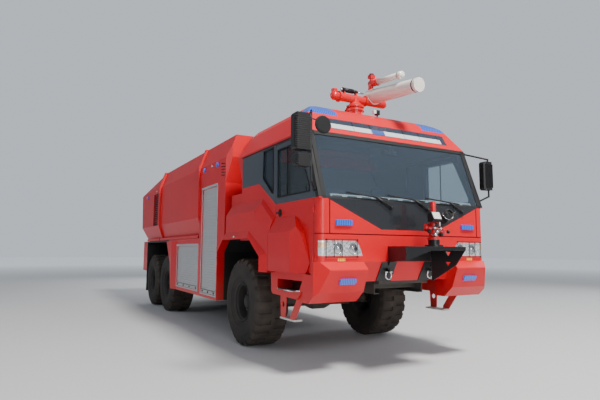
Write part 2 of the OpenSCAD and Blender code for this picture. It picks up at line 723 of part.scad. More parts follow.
module cab_glass() {
    t = 8;
    y0 = cab_half - wall;
    color([0.2, 0.28, 0.33]) {
        // Windscreen, leaning back between the pillars
        side_plate([[10, waist_z + 1], [screen_top_s - 4, eaves_z - 1], [screen_top_s + t, eaves_z - 1],
            [10 + t, waist_z + 1]], -y0 + seat_gap, y0 - seat_gap);
        // Quarter windows
        both_sides() quarter_pane(1, cab_half - 25, cab_half - 25 + t);
    }
}

// Door with its box below, hinged at the front; the window is cut
module door_form() {
    y0 = cab_half - wall;
    y1 = cab_half + bulge;
    difference() {
        union() {
            side_plate([[door_front_s, door_foot_z], [door_front_s, waist_z + 58],
                [door_front_s + screen_s(eaves_z - 61) + 26, eaves_z - 61], [door_back_s, eaves_z - 61],
                [door_back_s, door_foot_z]], y0, cab_half);
            // Box with faceted front and top, which carries the line of the fender on
            intersection() {
                cross_plate([[cab_half - 1, door_foot_z], [y1, door_foot_z], [y1, 1780],
                    [cab_half - 1, 2010]], 0, 2000);
                floor_plate([[door_back_s, cab_half - 1], [door_back_s, y1], [540, y1], [400, cab_half + 80],
                    [200, cab_half - 1]], door_low_z, 2100);
                side_plate([[door_back_s, door_foot_z], [door_back_s, 2012], [620, 2012], [361, 1775],
                    [212, 1386], [271, door_foot_z]], cab_half - 1, y1);
            }
            door_handle();
        }
        // Window
        side_plate([[door_front_s + 100, waist_z + 105], [door_front_s + 100, waist_z + 170],
            [door_front_s + screen_s(eaves_z - 140) + 110, eaves_z - 140], [door_back_s - 60, eaves_z - 140],
            [door_back_s - 60, waist_z + 105]], y0 - 1, cab_half + 1);
        // The box is hollow behind
        block(440, door_back_s - 40, y0 - 1, y1 - 40, door_low_z + 50, 1740);
    }
}
// Pull handle over a shallow cup
module door_handle() {
    for (s = [1012, 1108]) bar_y(s, cab_half - 1, cab_half + 30, 2066, 9);
    rod([1004, cab_half + 28, 2062], [1116, cab_half + 28, 2070], 11);
}
// Hinge leaves: the door's barrel hangs between the cab's barrel and pin
hinge_r = 9;
hinge_pin_r = 5;
hinge_axis_y = cab_half + hinge_r;
hinge_axis_s = door_front_s - door_gap / 2;
hinge_heights = [1450, 2060];
module door_hinges() {
    for (z = hinge_heights) difference() {
        union() {
            bar_z(hinge_axis_s, hinge_axis_y, z, z + 40, hinge_r);
            block(hinge_axis_s, door_front_s + 50, cab_half - 1, cab_half + 6, z, z + 40);
        }
        bar_z(hinge_axis_s, hinge_axis_y, z - 1, z + 41, hinge_pin_r + fit);
    }
}
module cab_hinges() {
    for (z = hinge_heights) {
        bar_z(hinge_axis_s, hinge_axis_y, z - 40 - seat_gap, z - seat_gap, hinge_r);
        bar_z(hinge_axis_s, hinge_axis_y, z - 10, z + 40, hinge_pin_r);
        block(hinge_axis_s - 50, hinge_axis_s, cab_half - 1, cab_half + 6, z - 40 - seat_gap, z - seat_gap);
    }
}
module door_left() color(red) {
    door_form();
    door_hinges();
}
module door_right() color(red) mirror([0, 1, 0]) {
    door_form();
    door_hinges();
}
module door_pane() {
    g = seat_gap;
    side_plate([[door_front_s + 100 + g, waist_z + 105 + g], [door_front_s + 100 + g, waist_z + 170 - g],
        [door_front_s + screen_s(eaves_z - 140) + 110, eaves_z - 140 - g],
        [door_back_s - 60 - g, eaves_z - 140 - g], [door_back_s - 60 - g, waist_z + 105 + g]],
        cab_half - 28, cab_half - 20);
}
module door_glass_left() color([0.2, 0.28, 0.33]) door_pane();
module door_glass_right() color([0.2, 0.28, 0.33]) mirror([0, 1, 0]) door_pane();

module dashboard() {
    color([0.12, 0.12, 0.13]) {
        side_plate([[140, floor_z + wall], [140, 1410], [60, 1410], [60, waist_z - 60], [200, waist_z - 20],
            [420, waist_z - 60], [520, waist_z - 200], [520, waist_z - 330], [300, floor_z + 400],
            [300, floor_z + wall]],
            -cab_half + wall + 60, cab_half - wall - 60);
        rod([500, driver_y, waist_z - 230], [690, driver_y, waist_z - 150], 28);
        translate([face_x - 690, driver_y, waist_z - 150]) rotate([0, -64, 0])
            rotate_extrude() translate([215, 0]) circle(15);
        rod([690, driver_y - 205, waist_z - 150], [690, driver_y + 205, waist_z - 150], 11);
    }
}
driver_y = 640;
seat_top_z = 1780;
module seat(s, y) {
    base = seat_top_z - 130;
    z0 = s > arch_front_s ? arch_top_z + wall : floor_z + wall;
    translate([0, y, 0]) {
        block(s + 60, s + 400, -200, 200, z0, base + 10);
        block(s, s + 520, -240, 240, base, seat_top_z);
        side_plate([[s + 430, seat_top_z - 20], [s + 540, seat_top_z - 20], [s + 690, seat_top_z + 620],
            [s + 600, seat_top_z + 640]], -240, 240);
        side_plate([[s + 600, seat_top_z + 660], [s + 680, seat_top_z + 650],
            [s + 720, seat_top_z + 820], [s + 640, seat_top_z + 830]], -140, 140);
        for (yy = [-70, 70])
            rod([s + 635, yy, seat_top_z + 600], [s + 650, yy, seat_top_z + 680], 8);
    }
}
module seats() {
    color([0.15, 0.16, 0.2]) {
        for (y = [-driver_y, driver_y]) seat(850, y);
    }
}

// Wipers: pivot, arm and blade, three along the foot of the windscreen
module wipers() {
    z0 = waist_z - 80;
    color([0.05, 0.05, 0.05]) for (y = wiper_y) {
        rod([-seat_gap, y, z0], [-28, y, z0], 16);
        rod([-22, y, z0], [-14, y - 250, waist_z + 50], 8);
        rod([-16, y - 90, z0 + 46], [-10, y - 330, waist_z + 62], 4);
        rod([-12, y - 720, waist_z + 88], [-20, y - 70, waist_z + 34], 8);
    }
}
wiper_y = [-330, 330, 1000];

// Mirrors: two housings and a round one on the right, one ribbed housing on the left
mirror_s = -60;
mirror_left_s = 70;
// Feet of the arms on the pillar as [station, height]
mirror_feet = [[90, 2300], [350, 3085]];
module mirror_frame(s, y, z_low, z_high) {
    for (f = mirror_feet) bar_y(f[0], cab_half + seat_gap, cab_half + 30, f[1], 22);
    rod([mirror_feet[0][0], cab_half + 15, mirror_feet[0][1]], [s, y, z_low], 14);
    rod([mirror_feet[1][0], cab_half + 15, mirror_feet[1][1]], [s, y, z_high], 14);
    bar_z(s, y, z_low - 12, z_high + 12, 14);
}
module mirrors() {
    color([0.08, 0.08, 0.09]) {
        mirror([0, 1, 0]) {
            mirror_frame(mirror_s, 1600, 2380, 3240);
            mirror_housing(mirror_s, 1612, 1850, 2740, 3190, 0);
            mirror_housing(mirror_s, 1612, 1830, 2540, 2700, 0);
            // Round kerb mirror, hung inboard of the upright
            rod([mirror_s, 1600, 3150], [mirror_s - 20, 1470, 3120], 8);
            bar_x(mirror_s - 50, mirror_s - 15, 1450, 3080, 95);
        }
        mirror_frame(mirror_left_s, 1680, 2390, 2975);
        mirror_housing(mirror_left_s, 1544, 1735, 2485, 2930, 7);
    }
}
// Housing with a face cut back at its corners, and upright ribs on its front
module mirror_housing(s, y0, y1, z0, z1, ribs) {
    intersection() {
        block(s - 55, s + 55, y0, y1, z0, z1);
        cross_plate([[y0, z0 + 25], [y0 + 25, z0], [y1 - 25, z0], [y1, z0 + 25], [y1, z1 - 25], [y1 - 25, z1],
            [y0 + 25, z1], [y0, z1 - 25]], s - 60, s + 60);
        floor_plate([[s + 55, y0], [s - 30, y0], [s - 55, y0 + 30], [s - 55, y1 - 30], [s - 30, y1],
            [s + 55, y1]],
            z0 - 1, z1 + 1);
    }
    for (i = [1 : 1 : ribs]) let (y = y0 + (y1 - y0) * i / (ribs + 1))
        block(s - 62, s - 54, y - 5, y + 5, z0 + 40, z1 - 40);
}

// Bumper: corner blocks with faceted faces, and a middle set back
bump_top_z = 1400;
bump_low_z = 890;
bump_in_y = 780;
bump_nose_s = -95;
// Station of the bumper's sloping face at a height
function bump_face_s(z) = bump_nose_s + (1300 - z) * 105 / 270;
module bumper() {
    color(red) {
        union() {
            intersection() {
                both_sides() side_plate([[tub_front_s - 6, bump_top_z], [0, bump_top_z],
                    [bump_nose_s + 5, 1312], [bump_nose_s, 1300], [10, 1030], [170, bump_low_z],
                    [330, bump_low_z], [330, floor_z - 6], [tub_front_s - 6, floor_z - 6]],
                    bump_in_y, cab_half + 45);
                // Corner facet in plan
                floor_plate([[-300, -1345], [-300, 1345], [-100, 1345], [60, cab_half + 45], [400,
                    cab_half + 45],
                    [400, -cab_half - 45], [60, -cab_half - 45], [-100, -1345]], 800, 1500);
            }
            // Middle, which slopes back to its foot
            side_plate([[tub_front_s - 6, bump_top_z], [0, bump_top_z], [bump_foot_s, bump_foot_z],
                [bump_foot_s, rail_top - 4], [122, rail_top], [92, 1330], [tub_front_s - 6, 1330]],
                    -bump_in_y, bump_in_y);
        }
    }
}
bump_foot_s = 143;
bump_foot_z = 1140;

tray_z = 1600;
tray_t = 14;
tray_half = 515;
tray_back_half = 385;
tray_turn = atan((tray_half - tray_back_half) / tray_reach);
tow_y = [245, 488];
// Plate along the tray's slanted side, its outline in [distance from the back corner, height]
module tray_gusset(pts)
    translate([face_x, tray_back_half, 0]) rotate([90, 0, tray_turn]) linear_extrude(12) polygon(pts);
module turret_tray() {
    color([0.06, 0.06, 0.07]) {
        floor_plate([[-tray_reach, -tray_half], [-tray_reach, tray_half], [-seat_gap, tray_back_half],
            [-seat_gap, -tray_back_half]], tray_z - tray_t, tray_z);
        difference() {
            union() {
                // Large gusset on the left, with two triangular holes
                difference() {
                    tray_gusset([[505, tray_z - 1], [505, 1540], [-40, 1312], [-60, 1312], [-60,
                        tray_z - 1]]);
                    tray_gusset_cut([[300, 1530], [225, 1540], [262, 1475]]);
                    tray_gusset_cut([[190, 1475], [110, 1475], [150, 1428]]);
                }
                // Lower one on the right
                mirror([0, 1, 0]) tray_gusset([[505, tray_z - 1], [505, 1425], [60, 1400], [-40, 1330],
                    [-60, 1330],
                    [-60, tray_z - 1]]);
                // Tow plates on the sloping face
                both_sides() {
                    side_plate([[0, bump_top_z - 4], [-14, bump_top_z - 4], [bump_foot_s - 14, bump_foot_z],
                        [bump_foot_s, bump_foot_z]], tow_y[0], tow_y[1]);
                    side_plate([[60, shackle_z + 34], [shackle_s - 10, shackle_z + 28], [shackle_s - 25,
                        shackle_z],
                        [shackle_s - 10, shackle_z - 22], [90, shackle_z - 30]], shackle_y - 9,
                            shackle_y + 9);
                }
            }
            // All of it stays clear of the bumper
            side_plate([[-seat_gap, 1700], [-seat_gap, bump_top_z], [bump_foot_s - seat_gap, bump_foot_z],
                [bump_foot_s - seat_gap, 1000], [400, 1000], [400, 1700]], -600, 600);
            both_sides() bar_y(shackle_s, shackle_y - 10, shackle_y + 10, shackle_z, shackle_pin_r + 1);
        }
        // Front skirt: a lip that deepens to the right-hand corner
        cross_plate([[-tray_half + 4, 1425], [-tray_half + 4, tray_z - 1], [tray_half - 4, tray_z - 1],
            [tray_half - 4, 1550], [-91, 1550]], -tray_reach, -tray_reach + 12);
        // Foot of the turret
        bar_z(turret_s, turret_y, tray_z, turret_foot_z, 75);
        bar_z(turret_s, turret_y, tray_z, tray_z + 22, 120);
    }
}
// Hole through the left gusset
module tray_gusset_cut(pts)
    translate([face_x, tray_back_half, 0]) rotate([90, 0, tray_turn]) translate([0, 0, -1])
        linear_extrude(14) polygon(pts);
turret_foot_z = 1690;
shackle_pin_r = 14;
shackle_s = 22;
shackle_y = 366;
shackle_z = 1268;
bow_r = 48;
bow_rod_r = 11;
// Bow shackles: a round bow, two legs and the pin through the lug
module shackles() {
    z0 = shackle_z - bow_r;
    color([0.75, 0.76, 0.78]) both_sides() {
        bar_y(shackle_s, shackle_y - 54, shackle_y + 54, shackle_z, shackle_pin_r);
        bar_y(shackle_s, shackle_y + 50, shackle_y + 62, shackle_z, 20);
        difference() {
            translate([face_x - shackle_s, shackle_y, z0]) rotate([0, 90, 0]) rotate_extrude()
                translate([bow_r, 0]) circle(bow_rod_r);
            block(shackle_s - 20, shackle_s + 20, shackle_y - 80, shackle_y + 80, z0 + 20, z0 + 80);
        }
        for (side = [-1, 1])
            rod([shackle_s, shackle_y + side * 43, z0 + 18], [shackle_s, shackle_y + side * 38,
                shackle_z], bow_rod_r);
    }
}

turret_pivot_z = 1920;
nozzle_y = turret_y + 132;
nozzle_pin_r = 20;
nozzle_hub_r = 50;
nozzle_rise = 38;
module turret_head() {
    y0 = nozzle_y - 50;
    color(red) {
        bar_z(turret_s, turret_y, turret_foot_z + seat_gap, turret_foot_z + 30, 85);
        bar_z(turret_s, turret_y, turret_foot_z + 29, turret_pivot_z + 40, 60);
        bar_z(turret_s, turret_y, turret_pivot_z + 39, turret_pivot_z + 280, 36);
        // Arm to the nozzle, and the spigot that it turns on
        bar_y(turret_s, turret_y, y0, turret_pivot_z, 40);
        bar_y(turret_s, y0 - 1, nozzle_y + 48, turret_pivot_z, nozzle_pin_r);
    }
    // Floodlight on the front of the column
    color([0.06, 0.06, 0.07]) {
        block(turret_s - 75, turret_s - 15, turret_y - 118, turret_y + 12, turret_pivot_z + 4,
            turret_pivot_z + 122);
        block(turret_s - 16, turret_s, turret_y - 40, turret_y - 10, turret_pivot_z + 40,
            turret_pivot_z + 80);
    }
}
module turret_nozzle() {
    color([0.06, 0.06, 0.06]) difference() {
        union() {
            bar_y(turret_s, nozzle_y - 50 + seat_gap, nozzle_y + 46, turret_pivot_z, nozzle_hub_r);
            translate([face_x - turret_s, nozzle_y, turret_pivot_z]) rotate([0, 90 - nozzle_rise, 0]) {
                translate([0, 0, -45]) cylinder(h = 130, r = 42);
                translate([0, 0, 84]) cylinder(h = 12, r1 = 42, r2 = 52);
                translate([0, 0, 95]) cylinder(h = 105, r = 52);
                translate([0, 0, 199]) cylinder(h = 22, r1 = 52, r2 = 47);
            }
        }
        bar_y(turret_s, nozzle_y - 51, nozzle_y + 49, turret_pivot_z, nozzle_pin_r + fit);
        // Mouth
        translate([face_x - turret_s, nozzle_y, turret_pivot_z]) rotate([0, 90 - nozzle_rise, 0])
            translate([0, 0, 185]) cylinder(h = 40, r = 36);
    }
}

// Steps under the doors: a boxed panel with a toe hole, and a tread hung from two legs
step_y = cab_half - 10;
module steps() {
    color(red) both_sides() {
        difference() {
            side_plate([[1366, floor_z - seat_gap], [1345, 960], [1300, 925], [576, 901],
                [348, 1087], [348, floor_z - seat_gap]], cab_half - 330, step_y);
            side_plate([[1144, 1009], [1144, 1148], [430, 1148], [520, 1009]], cab_half - 250, step_y + 1);
        }
        // Rear leg with a hole, and the slanting front leg
        difference() {
            side_plate([[935, 940], [1108, 940], [1090, 624], [960, 624]], step_y - 44, step_y - 30);
            bar_y(1020, step_y - 45, step_y - 29, 800, 38);
        }
        side_plate([[460, 1010], [590, 950], [810, 660], [810, 624], [690, 624], [470, 905]],
            step_y - 44, step_y - 30);
        block(690, 1095, step_y - 150, step_y - 20, 600, 625);
    }
}

// Roof monitor: fixed pedestal, turning arm with a level pipe, and the barrel that tilts on it
module monitor_base() {
    z1 = monitor_z - 150;
    color(red) {
        bar_z(monitor_s, monitor_y, roof_z + seat_gap, roof_z + 30, 165);
        bar_z(monitor_s, monitor_y, roof_z + 29, z1 - 60, 127);
        bar_z(monitor_s, monitor_y, z1 - 61, z1 - 30, 150);
        bar_z(monitor_s, monitor_y, z1 - 31, z1, 120);
    }
}
arm_end_y = 250;
arm_far_y = -364;
pipe_r = 68;
monitor_pin_r = 45;
module monitor_arm() {
    z0 = monitor_z - 150 + seat_gap;
    color(red) {
        bar_z(monitor_s, monitor_y, z0, z0 + 30, 150);
        translate([face_x - monitor_s, monitor_y, z0 + 29]) cylinder(h = 60, r1 = 127, r2 = 80);
        bar_z(monitor_s, monitor_y, z0 + 88, monitor_z, 75);
        bar_y(monitor_s, arm_far_y, arm_end_y, monitor_z, pipe_r);
        // Elbow at the far end, clamps along the pipe
        translate([face_x - monitor_s, arm_far_y, monitor_z]) sphere(pipe_r + 4);
        bar_z(monitor_s, arm_far_y, monitor_z, monitor_z + 110, 52);
        for (y = [arm_far_y + 70, arm_end_y - 24]) bar_y(monitor_s, y, y + 24, monitor_z, pipe_r + 22);
        bar_y(monitor_s, arm_end_y - 1, arm_end_y + 90, monitor_z, monitor_pin_r);
    }
    // Tilt actuator along the top of the pipe
    color([0.06, 0.06, 0.07]) {
        bar_y(monitor_s, -200, 86, monitor_z + 125, 27);
        block(monitor_s - 22, monitor_s + 22, -190, -160, monitor_z + 40, monitor_z + 125);
        block(monitor_s - 22, monitor_s + 22, 40, 70, monitor_z + 40, monitor_z + 125);
    }
}
barrel_y = 400;
barrel_up = 97;
// How far the pipe reaches on beyond the barrel
pipe_over = 219;
// The barrel parks with its nose down by this angle
dip = 6.3;
tube_y = barrel_y - 50;
tube_up = 310;
// A bar along the barrel from u0 to u1, at a side place and a height over the pipe
module along(u0, u1, y, up, r0, r1)
    translate([u0, y - barrel_y, up]) rotate([0, 90, 0]) cylinder(h = u1 - u0, r1 = r0, r2 = r1);
// Bore for the arm's pin
module pin_bore() rotate([90, 0, 0]) translate([0, 0, barrel_y - arm_end_y - 91])
    cylinder(h = 100, r = monitor_pin_r + fit);
module monitor_barrel() {
    cap_r = barrel_r - 14;
    translate([face_x - monitor_s, barrel_y, monitor_z]) rotate([0, dip, 0]) {
        color(red) {
            difference() {
                union() {
                    rotate([90, 0, 0]) translate([0, 0, -pipe_over])
                        cylinder(h = pipe_over + barrel_y - arm_end_y - seat_gap, r = pipe_r);
                    translate([0, pipe_over, 0]) sphere(pipe_r);
                }
                pin_bore();
            }
            // Riser and small tube's elbow, then the valve on top
            translate([0, tube_y - barrel_y, 0]) {
                translate([0, 0, pipe_r - 18]) cylinder(h = tube_up + 48 - pipe_r, r = 45);
                translate([0, 0, tube_up + 29]) cylinder(h = 60, r = 30);
                translate([-45, -45, tube_up + 88]) cube([90, 90, 60]);
            }
            along(0, 150, tube_y, tube_up, 45, 45);
        }
        color([0.9, 0.88, 0.83]) {
            difference() {
                along(-70, barrel_len - 80, barrel_y, barrel_up, barrel_r + 6, cap_r);
                pin_bore();
            }
            along(barrel_len - 56, barrel_len, barrel_y, barrel_up, cap_r + 2, cap_r + 2);
            along(149, 758, tube_y, tube_up, 38, 38);
            along(757, 775, tube_y, tube_up, 44, 44);
        }
        color([0.06, 0.06, 0.07]) {
            along(barrel_len - 81, barrel_len - 55, barrel_y, barrel_up, cap_r - 6, cap_r - 6);
            translate([0, tube_y - barrel_y, tube_up + 147]) cylinder(h = 24, r = 40);
        }
    }
}

// Half section of the body, bottom to top: [width, height]
function body_half_section(sill) = [[body_half - 130, sill], [body_half, swage_z], [body_half, crease_z],
    [body_half - lean, top_z]];
// Ring round the body where two of its parts meet
module body_rib(s0, s1, out) {
    cross_plate(whole([[body_half - 130 + out, sill_z + 6], [body_half + out, swage_z],
        [body_half + out, crease_z + 8], [body_half - lean + out, top_z + 12]]), s0, s1);
}
// Rail along the sill, cut on a slant at its front
module sill_rail(s0, s1, slant)
    both_sides() side_plate([[s0 + slant, sill_z + 6], [s1, sill_z + 6], [s1, sill_z + 66], [s0,
        sill_z + 66]],
        body_half - 140, body_half);
collar_s = body_front_s - 130;
corner_cut = 80;
module body_column() {
    cut_rate = corner_cut / (body_front_s - collar_s);
    color(red) difference() {
        union() {
            // Column from sill to top, its collar leaning towards the cab and cut off at its corners
            intersection() {
                cross_plate(whole([[body_half, sill_z], [body_half, crease_z], [body_half - lean, top_z]]),
                    body_front_s - 200, rib1_s);
                side_plate([[body_front_s, sill_z], [body_front_s, 2760], [collar_s, crease_z - 10],
                    [collar_s, top_z + 1], [rib1_s, top_z + 1], [rib1_s, sill_z]],
                    -body_half, body_half);
                floor_plate(whole_plan([[collar_s - 70, body_half - corner_cut - 70 * cut_rate],
                    [body_front_s, body_half], [rib1_s, body_half]]), sill_z - 1, top_z + 2);
            }
            // The middle rests on the frame
            block(body_front_s, rib1_s, -rail_half - 120, rail_half + 120, rail_top + seat_gap, sill_z + 1);
            // Lockers each side, down to the sill of the tall shutter and of the low one
            both_sides() side_plate([[body_front_s, sill_z], [body_front_s, 1750], [3300, 1717], [3560, 1500],
                [3560, locker_z], arch_edge[0], arch_edge[1], arch_edge[2], [arch_edge[2][0], sill_z]],
                rail_half + 120, body_half);
            // Flare towards the rear wheels
            both_sides() intersection() {
                side_plate(concat([[6380, arch_edge[2][1]], [6380, locker_z]], arch_edge), body_half - 1,
                    body_half + 60);
                floor_plate([[6380, body_half], [6700, body_half + 60], [7300, body_half + 60],
                    [7300, body_half - 1], [6380, body_half - 1]], locker_z - 1, 1800);
            }
        }
        both_sides() {
            shutter_cut(0);
            // Slanted louvres in the collar
            for (i = [0 : 1 : 4]) let (z = 2890 + 54 * i)
                side_plate([[3215, z], [3425, z + 26], [3425, z + 44], [3215, z + 18]], body_half - 22,
                    body_half + 1);
        }
    }
}
// Front edge of the rear wheels' arch
arch_edge = [[6700, locker_z], [6830, 1243], [7200, 1745]];
function whole_plan(half) = concat(half, [for (i = [len(half) - 1 : -1 : 0]) [half[i][0], -half[i][1]]]);
// Tall shutter and low shutter as [front station, rear station, low, high]
shutter_list = [[3620, 4510, 700, 2750], [4750, 6370, 723, 1620]];
module shutter_cut(c) {
    for (w = shutter_list)
        block(w[0] + c, w[1] - c, body_half - 40 + c, body_half + 1 - 2 * c, w[2] + c, w[3] - c);
}
// Shutters: a sheet of slats, with a bar along the foot
function slats(z0, z1, y) = [for (i = [0 : 1 : floor((z1 - z0) / slat_pitch) - 1], k = [0 : 1 : 3])
    let (z = z0 + i * slat_pitch) [[y, z], [y + 6, z + 5], [y + 6, z + slat_pitch - 9], [y,
        z + slat_pitch - 4]][k]];
module shutters() {
    y0 = body_half - 40 + seat_gap;
    color([0.72, 0.74, 0.76]) both_sides() for (w = shutter_list) {
        cross_plate(concat([[y0, w[3] - seat_gap], [y0, w[2] + seat_gap], [body_half - 22, w[2] + seat_gap]],
            slats(w[2] + 70, w[3] - 60, body_half - 22), [[body_half - 22, w[3] - seat_gap]]),
            w[0] + seat_gap, w[1] - seat_gap);
        block(w[0] + 12, w[1] - 12, body_half - 23, body_half - 6, w[2] + 4, w[2] + 62);
    }
}

deck_z = 3420;
module body_tank() {
    color(red) {
        difference() {
            union() {
                cross_plate(whole(body_half_section(sill_z + seat_gap)), rib1_s + seat_gap, rib2_s);
                block(rib1_s + seat_gap, rib2_s, -rail_half - 119, rail_half + 119, rail_top + seat_gap,
                    sill_z + 1);
                body_rib(rib1_s + seat_gap, rib1_s + 95, rib_out);
                sill_rail(rib1_s + 60, rib2_s, 60);
            }
            cross_plate([[-1150, deck_z], [1150, deck_z], [1150, top_z + 10], [-1150, top_z + 10]],
                rib1_s + 200, rib2_s - 100);
            bar_z(hatch_s, 0, deck_z - 60, deck_z + 1, hatch_r - 60);
        }
        bar_ring();
        // Ears that carry the hatch's pin
        for (y = [-61 - 20, 61]) block(hatch_s + hatch_r + 44, hatch_s + hatch_r + 76, y, y + 20,
            deck_z - 1, deck_z + 92);
    }
}
hatch_s = 5900;
hatch_r = 300;
hatch_pin_r = 12;
module bar_ring() {
    difference() {
        bar_z(hatch_s, 0, deck_z - 1, deck_z + 50, hatch_r - 30);
        bar_z(hatch_s, 0, deck_z - 60, deck_z + 51, hatch_r - 60);
    }
}
module tank_hatch() {
    color([0.6, 0.62, 0.64]) {
        bar_z(hatch_s, 0, deck_z + 50 + seat_gap, deck_z + 75, hatch_r);
        block(hatch_s + hatch_r - 60, hatch_s + hatch_r + 60, -60, 60, deck_z + 60, deck_z + 75);
        bar_y(hatch_s + hatch_r + 60, -60, 60, deck_z + 75, hatch_pin_r);
    }
}

module body_rear() {
    color(red) difference() {
        union() {
            intersection() {
                cross_plate(whole(body_half_section(sill_z)), rib2_s + seat_gap, tail_s);
                side_plate([[rib2_s, sill_z], [tail_s - 640, sill_z], [tail_s - 110, swage_z],
                    [tail_s, 3150], [tail_s, 3200], [rib2_s, top_z + 1]], -body_half, body_half);
            }
            body_rib(rib2_s + seat_gap, rib2_s + 120, rib_out + 12);
            sill_rail(rib2_s + 100, 9827, 0);
            both_sides() {
                block(rib2_s + seat_gap, 10300, 390, rail_half + 119, rail_top + seat_gap, sill_z + 1);
                // Tail box behind the rear wheel
                block(tail_box_s, tail_box_s + 700, rail_half + 50, body_half - 60, 910, sill_z + 1);
            }
        }
        // The engine's space, and the intake slot each side
        block(8850, 10350, -380, 380, sill_z - 1, rail_top + 950);
        both_sides() block(8510, 9070, body_half - 40, body_half + 1, 2235, 3085);
    }
}

tail_box_s = 9900;
module mudguards() {
    color([0.08, 0.08, 0.08]) {
        both_sides() {
            block(7210, 9850, rail_half + 130, body_half - 20, sill_z - 40, sill_z - seat_gap);
            block(9850, 9880, rail_half + 130, body_half - 20, 340, sill_z - seat_gap);
        }
    }
}

module rear_ladder() {
    color([0.7, 0.72, 0.74]) {
        // Brackets to the tail
        for (y = [-1150, -750]) {
            rod([tail_s - 40, y, 1850], [tail_s + ladder_reach - 16, y, 1850], 13);
            rod([tail_s + seat_gap, y, 3180], [tail_s + ladder_reach - 16, y, 3180], 13);
        }
        for (y = [-1150, -750])
            rod([tail_s + ladder_reach - 16, y, 1300], [tail_s + ladder_reach - 16, y, 3350], 16);
        for (z = [1400 : 300 : 3200])
            rod([tail_s + ladder_reach - 16, -1150, z], [tail_s + ladder_reach - 16, -750, z], 13);
    }
}
module tail_lamps() {
    color("darkred") both_sides() block(tail_box_s + 700 + seat_gap, tail_box_s + 740, 1150, 1420, 1100,
        1220);
}

chassis_frame();
springs();
drive_shafts();
front_axle();
rear_axles();
engine_block();
knuckle_left();
knuckle_right();
track_rod();
wheel_front_left();
wheel_front_right();
wheel_mid_left();
wheel_mid_right();
wheel_rear_left();
wheel_rear_right();
cab_tub();
cab_front();
cab_side_left();
cab_side_right();
cab_roof();
nose_panel();
cab_glass();
door_left();
door_right();
door_glass_left();
door_glass_right();
dashboard();
seats();
wipers();
mirrors();
light_bar();
blue_lamps();
headlamps();
bumper();
turret_tray();
shackles();
turret_head();
turret_nozzle();
steps();
monitor_base();
monitor_arm();
monitor_barrel();
body_column();
body_tank();
body_rear();
shutters();
mudguards();
tank_hatch();
rear_ladder();
tail_lamps();
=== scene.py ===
import math

import bmesh
import bpy
from mathutils import Matrix, Vector


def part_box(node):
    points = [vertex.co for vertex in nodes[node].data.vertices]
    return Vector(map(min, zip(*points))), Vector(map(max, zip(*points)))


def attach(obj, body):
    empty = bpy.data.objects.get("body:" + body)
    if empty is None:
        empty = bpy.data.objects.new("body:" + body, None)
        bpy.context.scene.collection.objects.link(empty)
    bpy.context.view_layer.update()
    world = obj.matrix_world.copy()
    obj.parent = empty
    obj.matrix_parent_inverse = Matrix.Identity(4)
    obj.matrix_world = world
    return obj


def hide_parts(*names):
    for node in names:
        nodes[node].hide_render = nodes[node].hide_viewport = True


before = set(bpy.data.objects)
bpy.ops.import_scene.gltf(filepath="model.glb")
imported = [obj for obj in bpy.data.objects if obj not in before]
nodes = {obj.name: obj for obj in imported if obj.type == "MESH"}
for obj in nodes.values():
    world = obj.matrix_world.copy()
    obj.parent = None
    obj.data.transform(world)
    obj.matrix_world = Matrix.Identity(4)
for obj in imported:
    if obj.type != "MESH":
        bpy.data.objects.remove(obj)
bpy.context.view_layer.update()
print("frame loaded:", len(nodes), "nodes")

# Driving sizes, in metres; stations run back from the cab's front face
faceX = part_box("nose_panel")[1][0]
cabHalf = 1.45
bodyHalf = 1.5
tyreR = 0.7
axles = {"front": 2.45, "mid": 7.5, "rear": 9.1}
sides = {"left": 1, "right": -1}


moved = Matrix.Translation


def at(s, y, z):
    return Vector((faceX - s, y, z))


def meshOf(name, work):
    mesh = bpy.data.meshes.new(name)
    work.to_mesh(mesh)
    work.free()
    return mesh


def addObject(name, data):
    made = bpy.data.objects.new(name, data)
    bpy.context.collection.objects.link(made)
    return made


# Camera: place and angles solved from the photograph's vanishing points
view = {"place": (10.19, -4.48, 1.54), "yaw": 151.073, "pitch": 6.0127, "roll": 0.3265, "lens": 28.77,
        "reach": 200}


def addCamera():
    yaw, pitch, roll = (math.radians(view[key]) for key in ("yaw", "pitch", "roll"))
    ahead = Vector((math.cos(yaw) * math.cos(pitch), math.sin(yaw) * math.cos(pitch), math.sin(pitch)))
    right = Vector((math.sin(yaw), -math.cos(yaw), 0))
    up = right.cross(ahead)
    across = right * math.cos(roll) + up * math.sin(roll)
    top = up * math.cos(roll) - right * math.sin(roll)
    turn = Matrix((across, top, -ahead)).transposed().to_4x4()
    data = bpy.data.cameras.new("camera")
    data.lens = view["lens"]
    data.clip_end = view["reach"]
    camera = addObject("camera", data)
    camera.matrix_world = moved(view["place"]) @ turn
    bpy.context.scene.camera = camera


# Area lights as name: place, aim, size, power, colour
lights = {
    "key": ((11.7, 1.2, 15.5), (2, 0, 1.6), 3, 4600, (1.0, 0.97, 0.92)),
    "frontFill": ((17, -3, 5), (4, 0, 1.8), 7, 800, (0.98, 0.98, 1.0)),
    "sideFill": ((-2, -16, 8), (-1, 0, 1.5), 8, 520, (0.9, 0.94, 1.0)),
    "farFill": ((2, 15, 8), (0, 0, 1.5), 8, 600, (0.95, 0.97, 1.0)),
    "tailFill": ((-15, 4, 7), (-4, 0, 1.5), 7, 600, (0.95, 0.97, 1.0)),
}

# Sky, and a floor that fades into the backdrop far from the truck
studio = {"sky": (0.8, 0.86, 0.94), "fill": 0.3, "backdrop": 0.75, "fadeFrom": 12.0, "fadeOver": 30.0,
          "floorReach": 90, "nearFloor": (0.56, 0.57, 0.58), "farFloor": (0.1, 0.1, 0.1)}


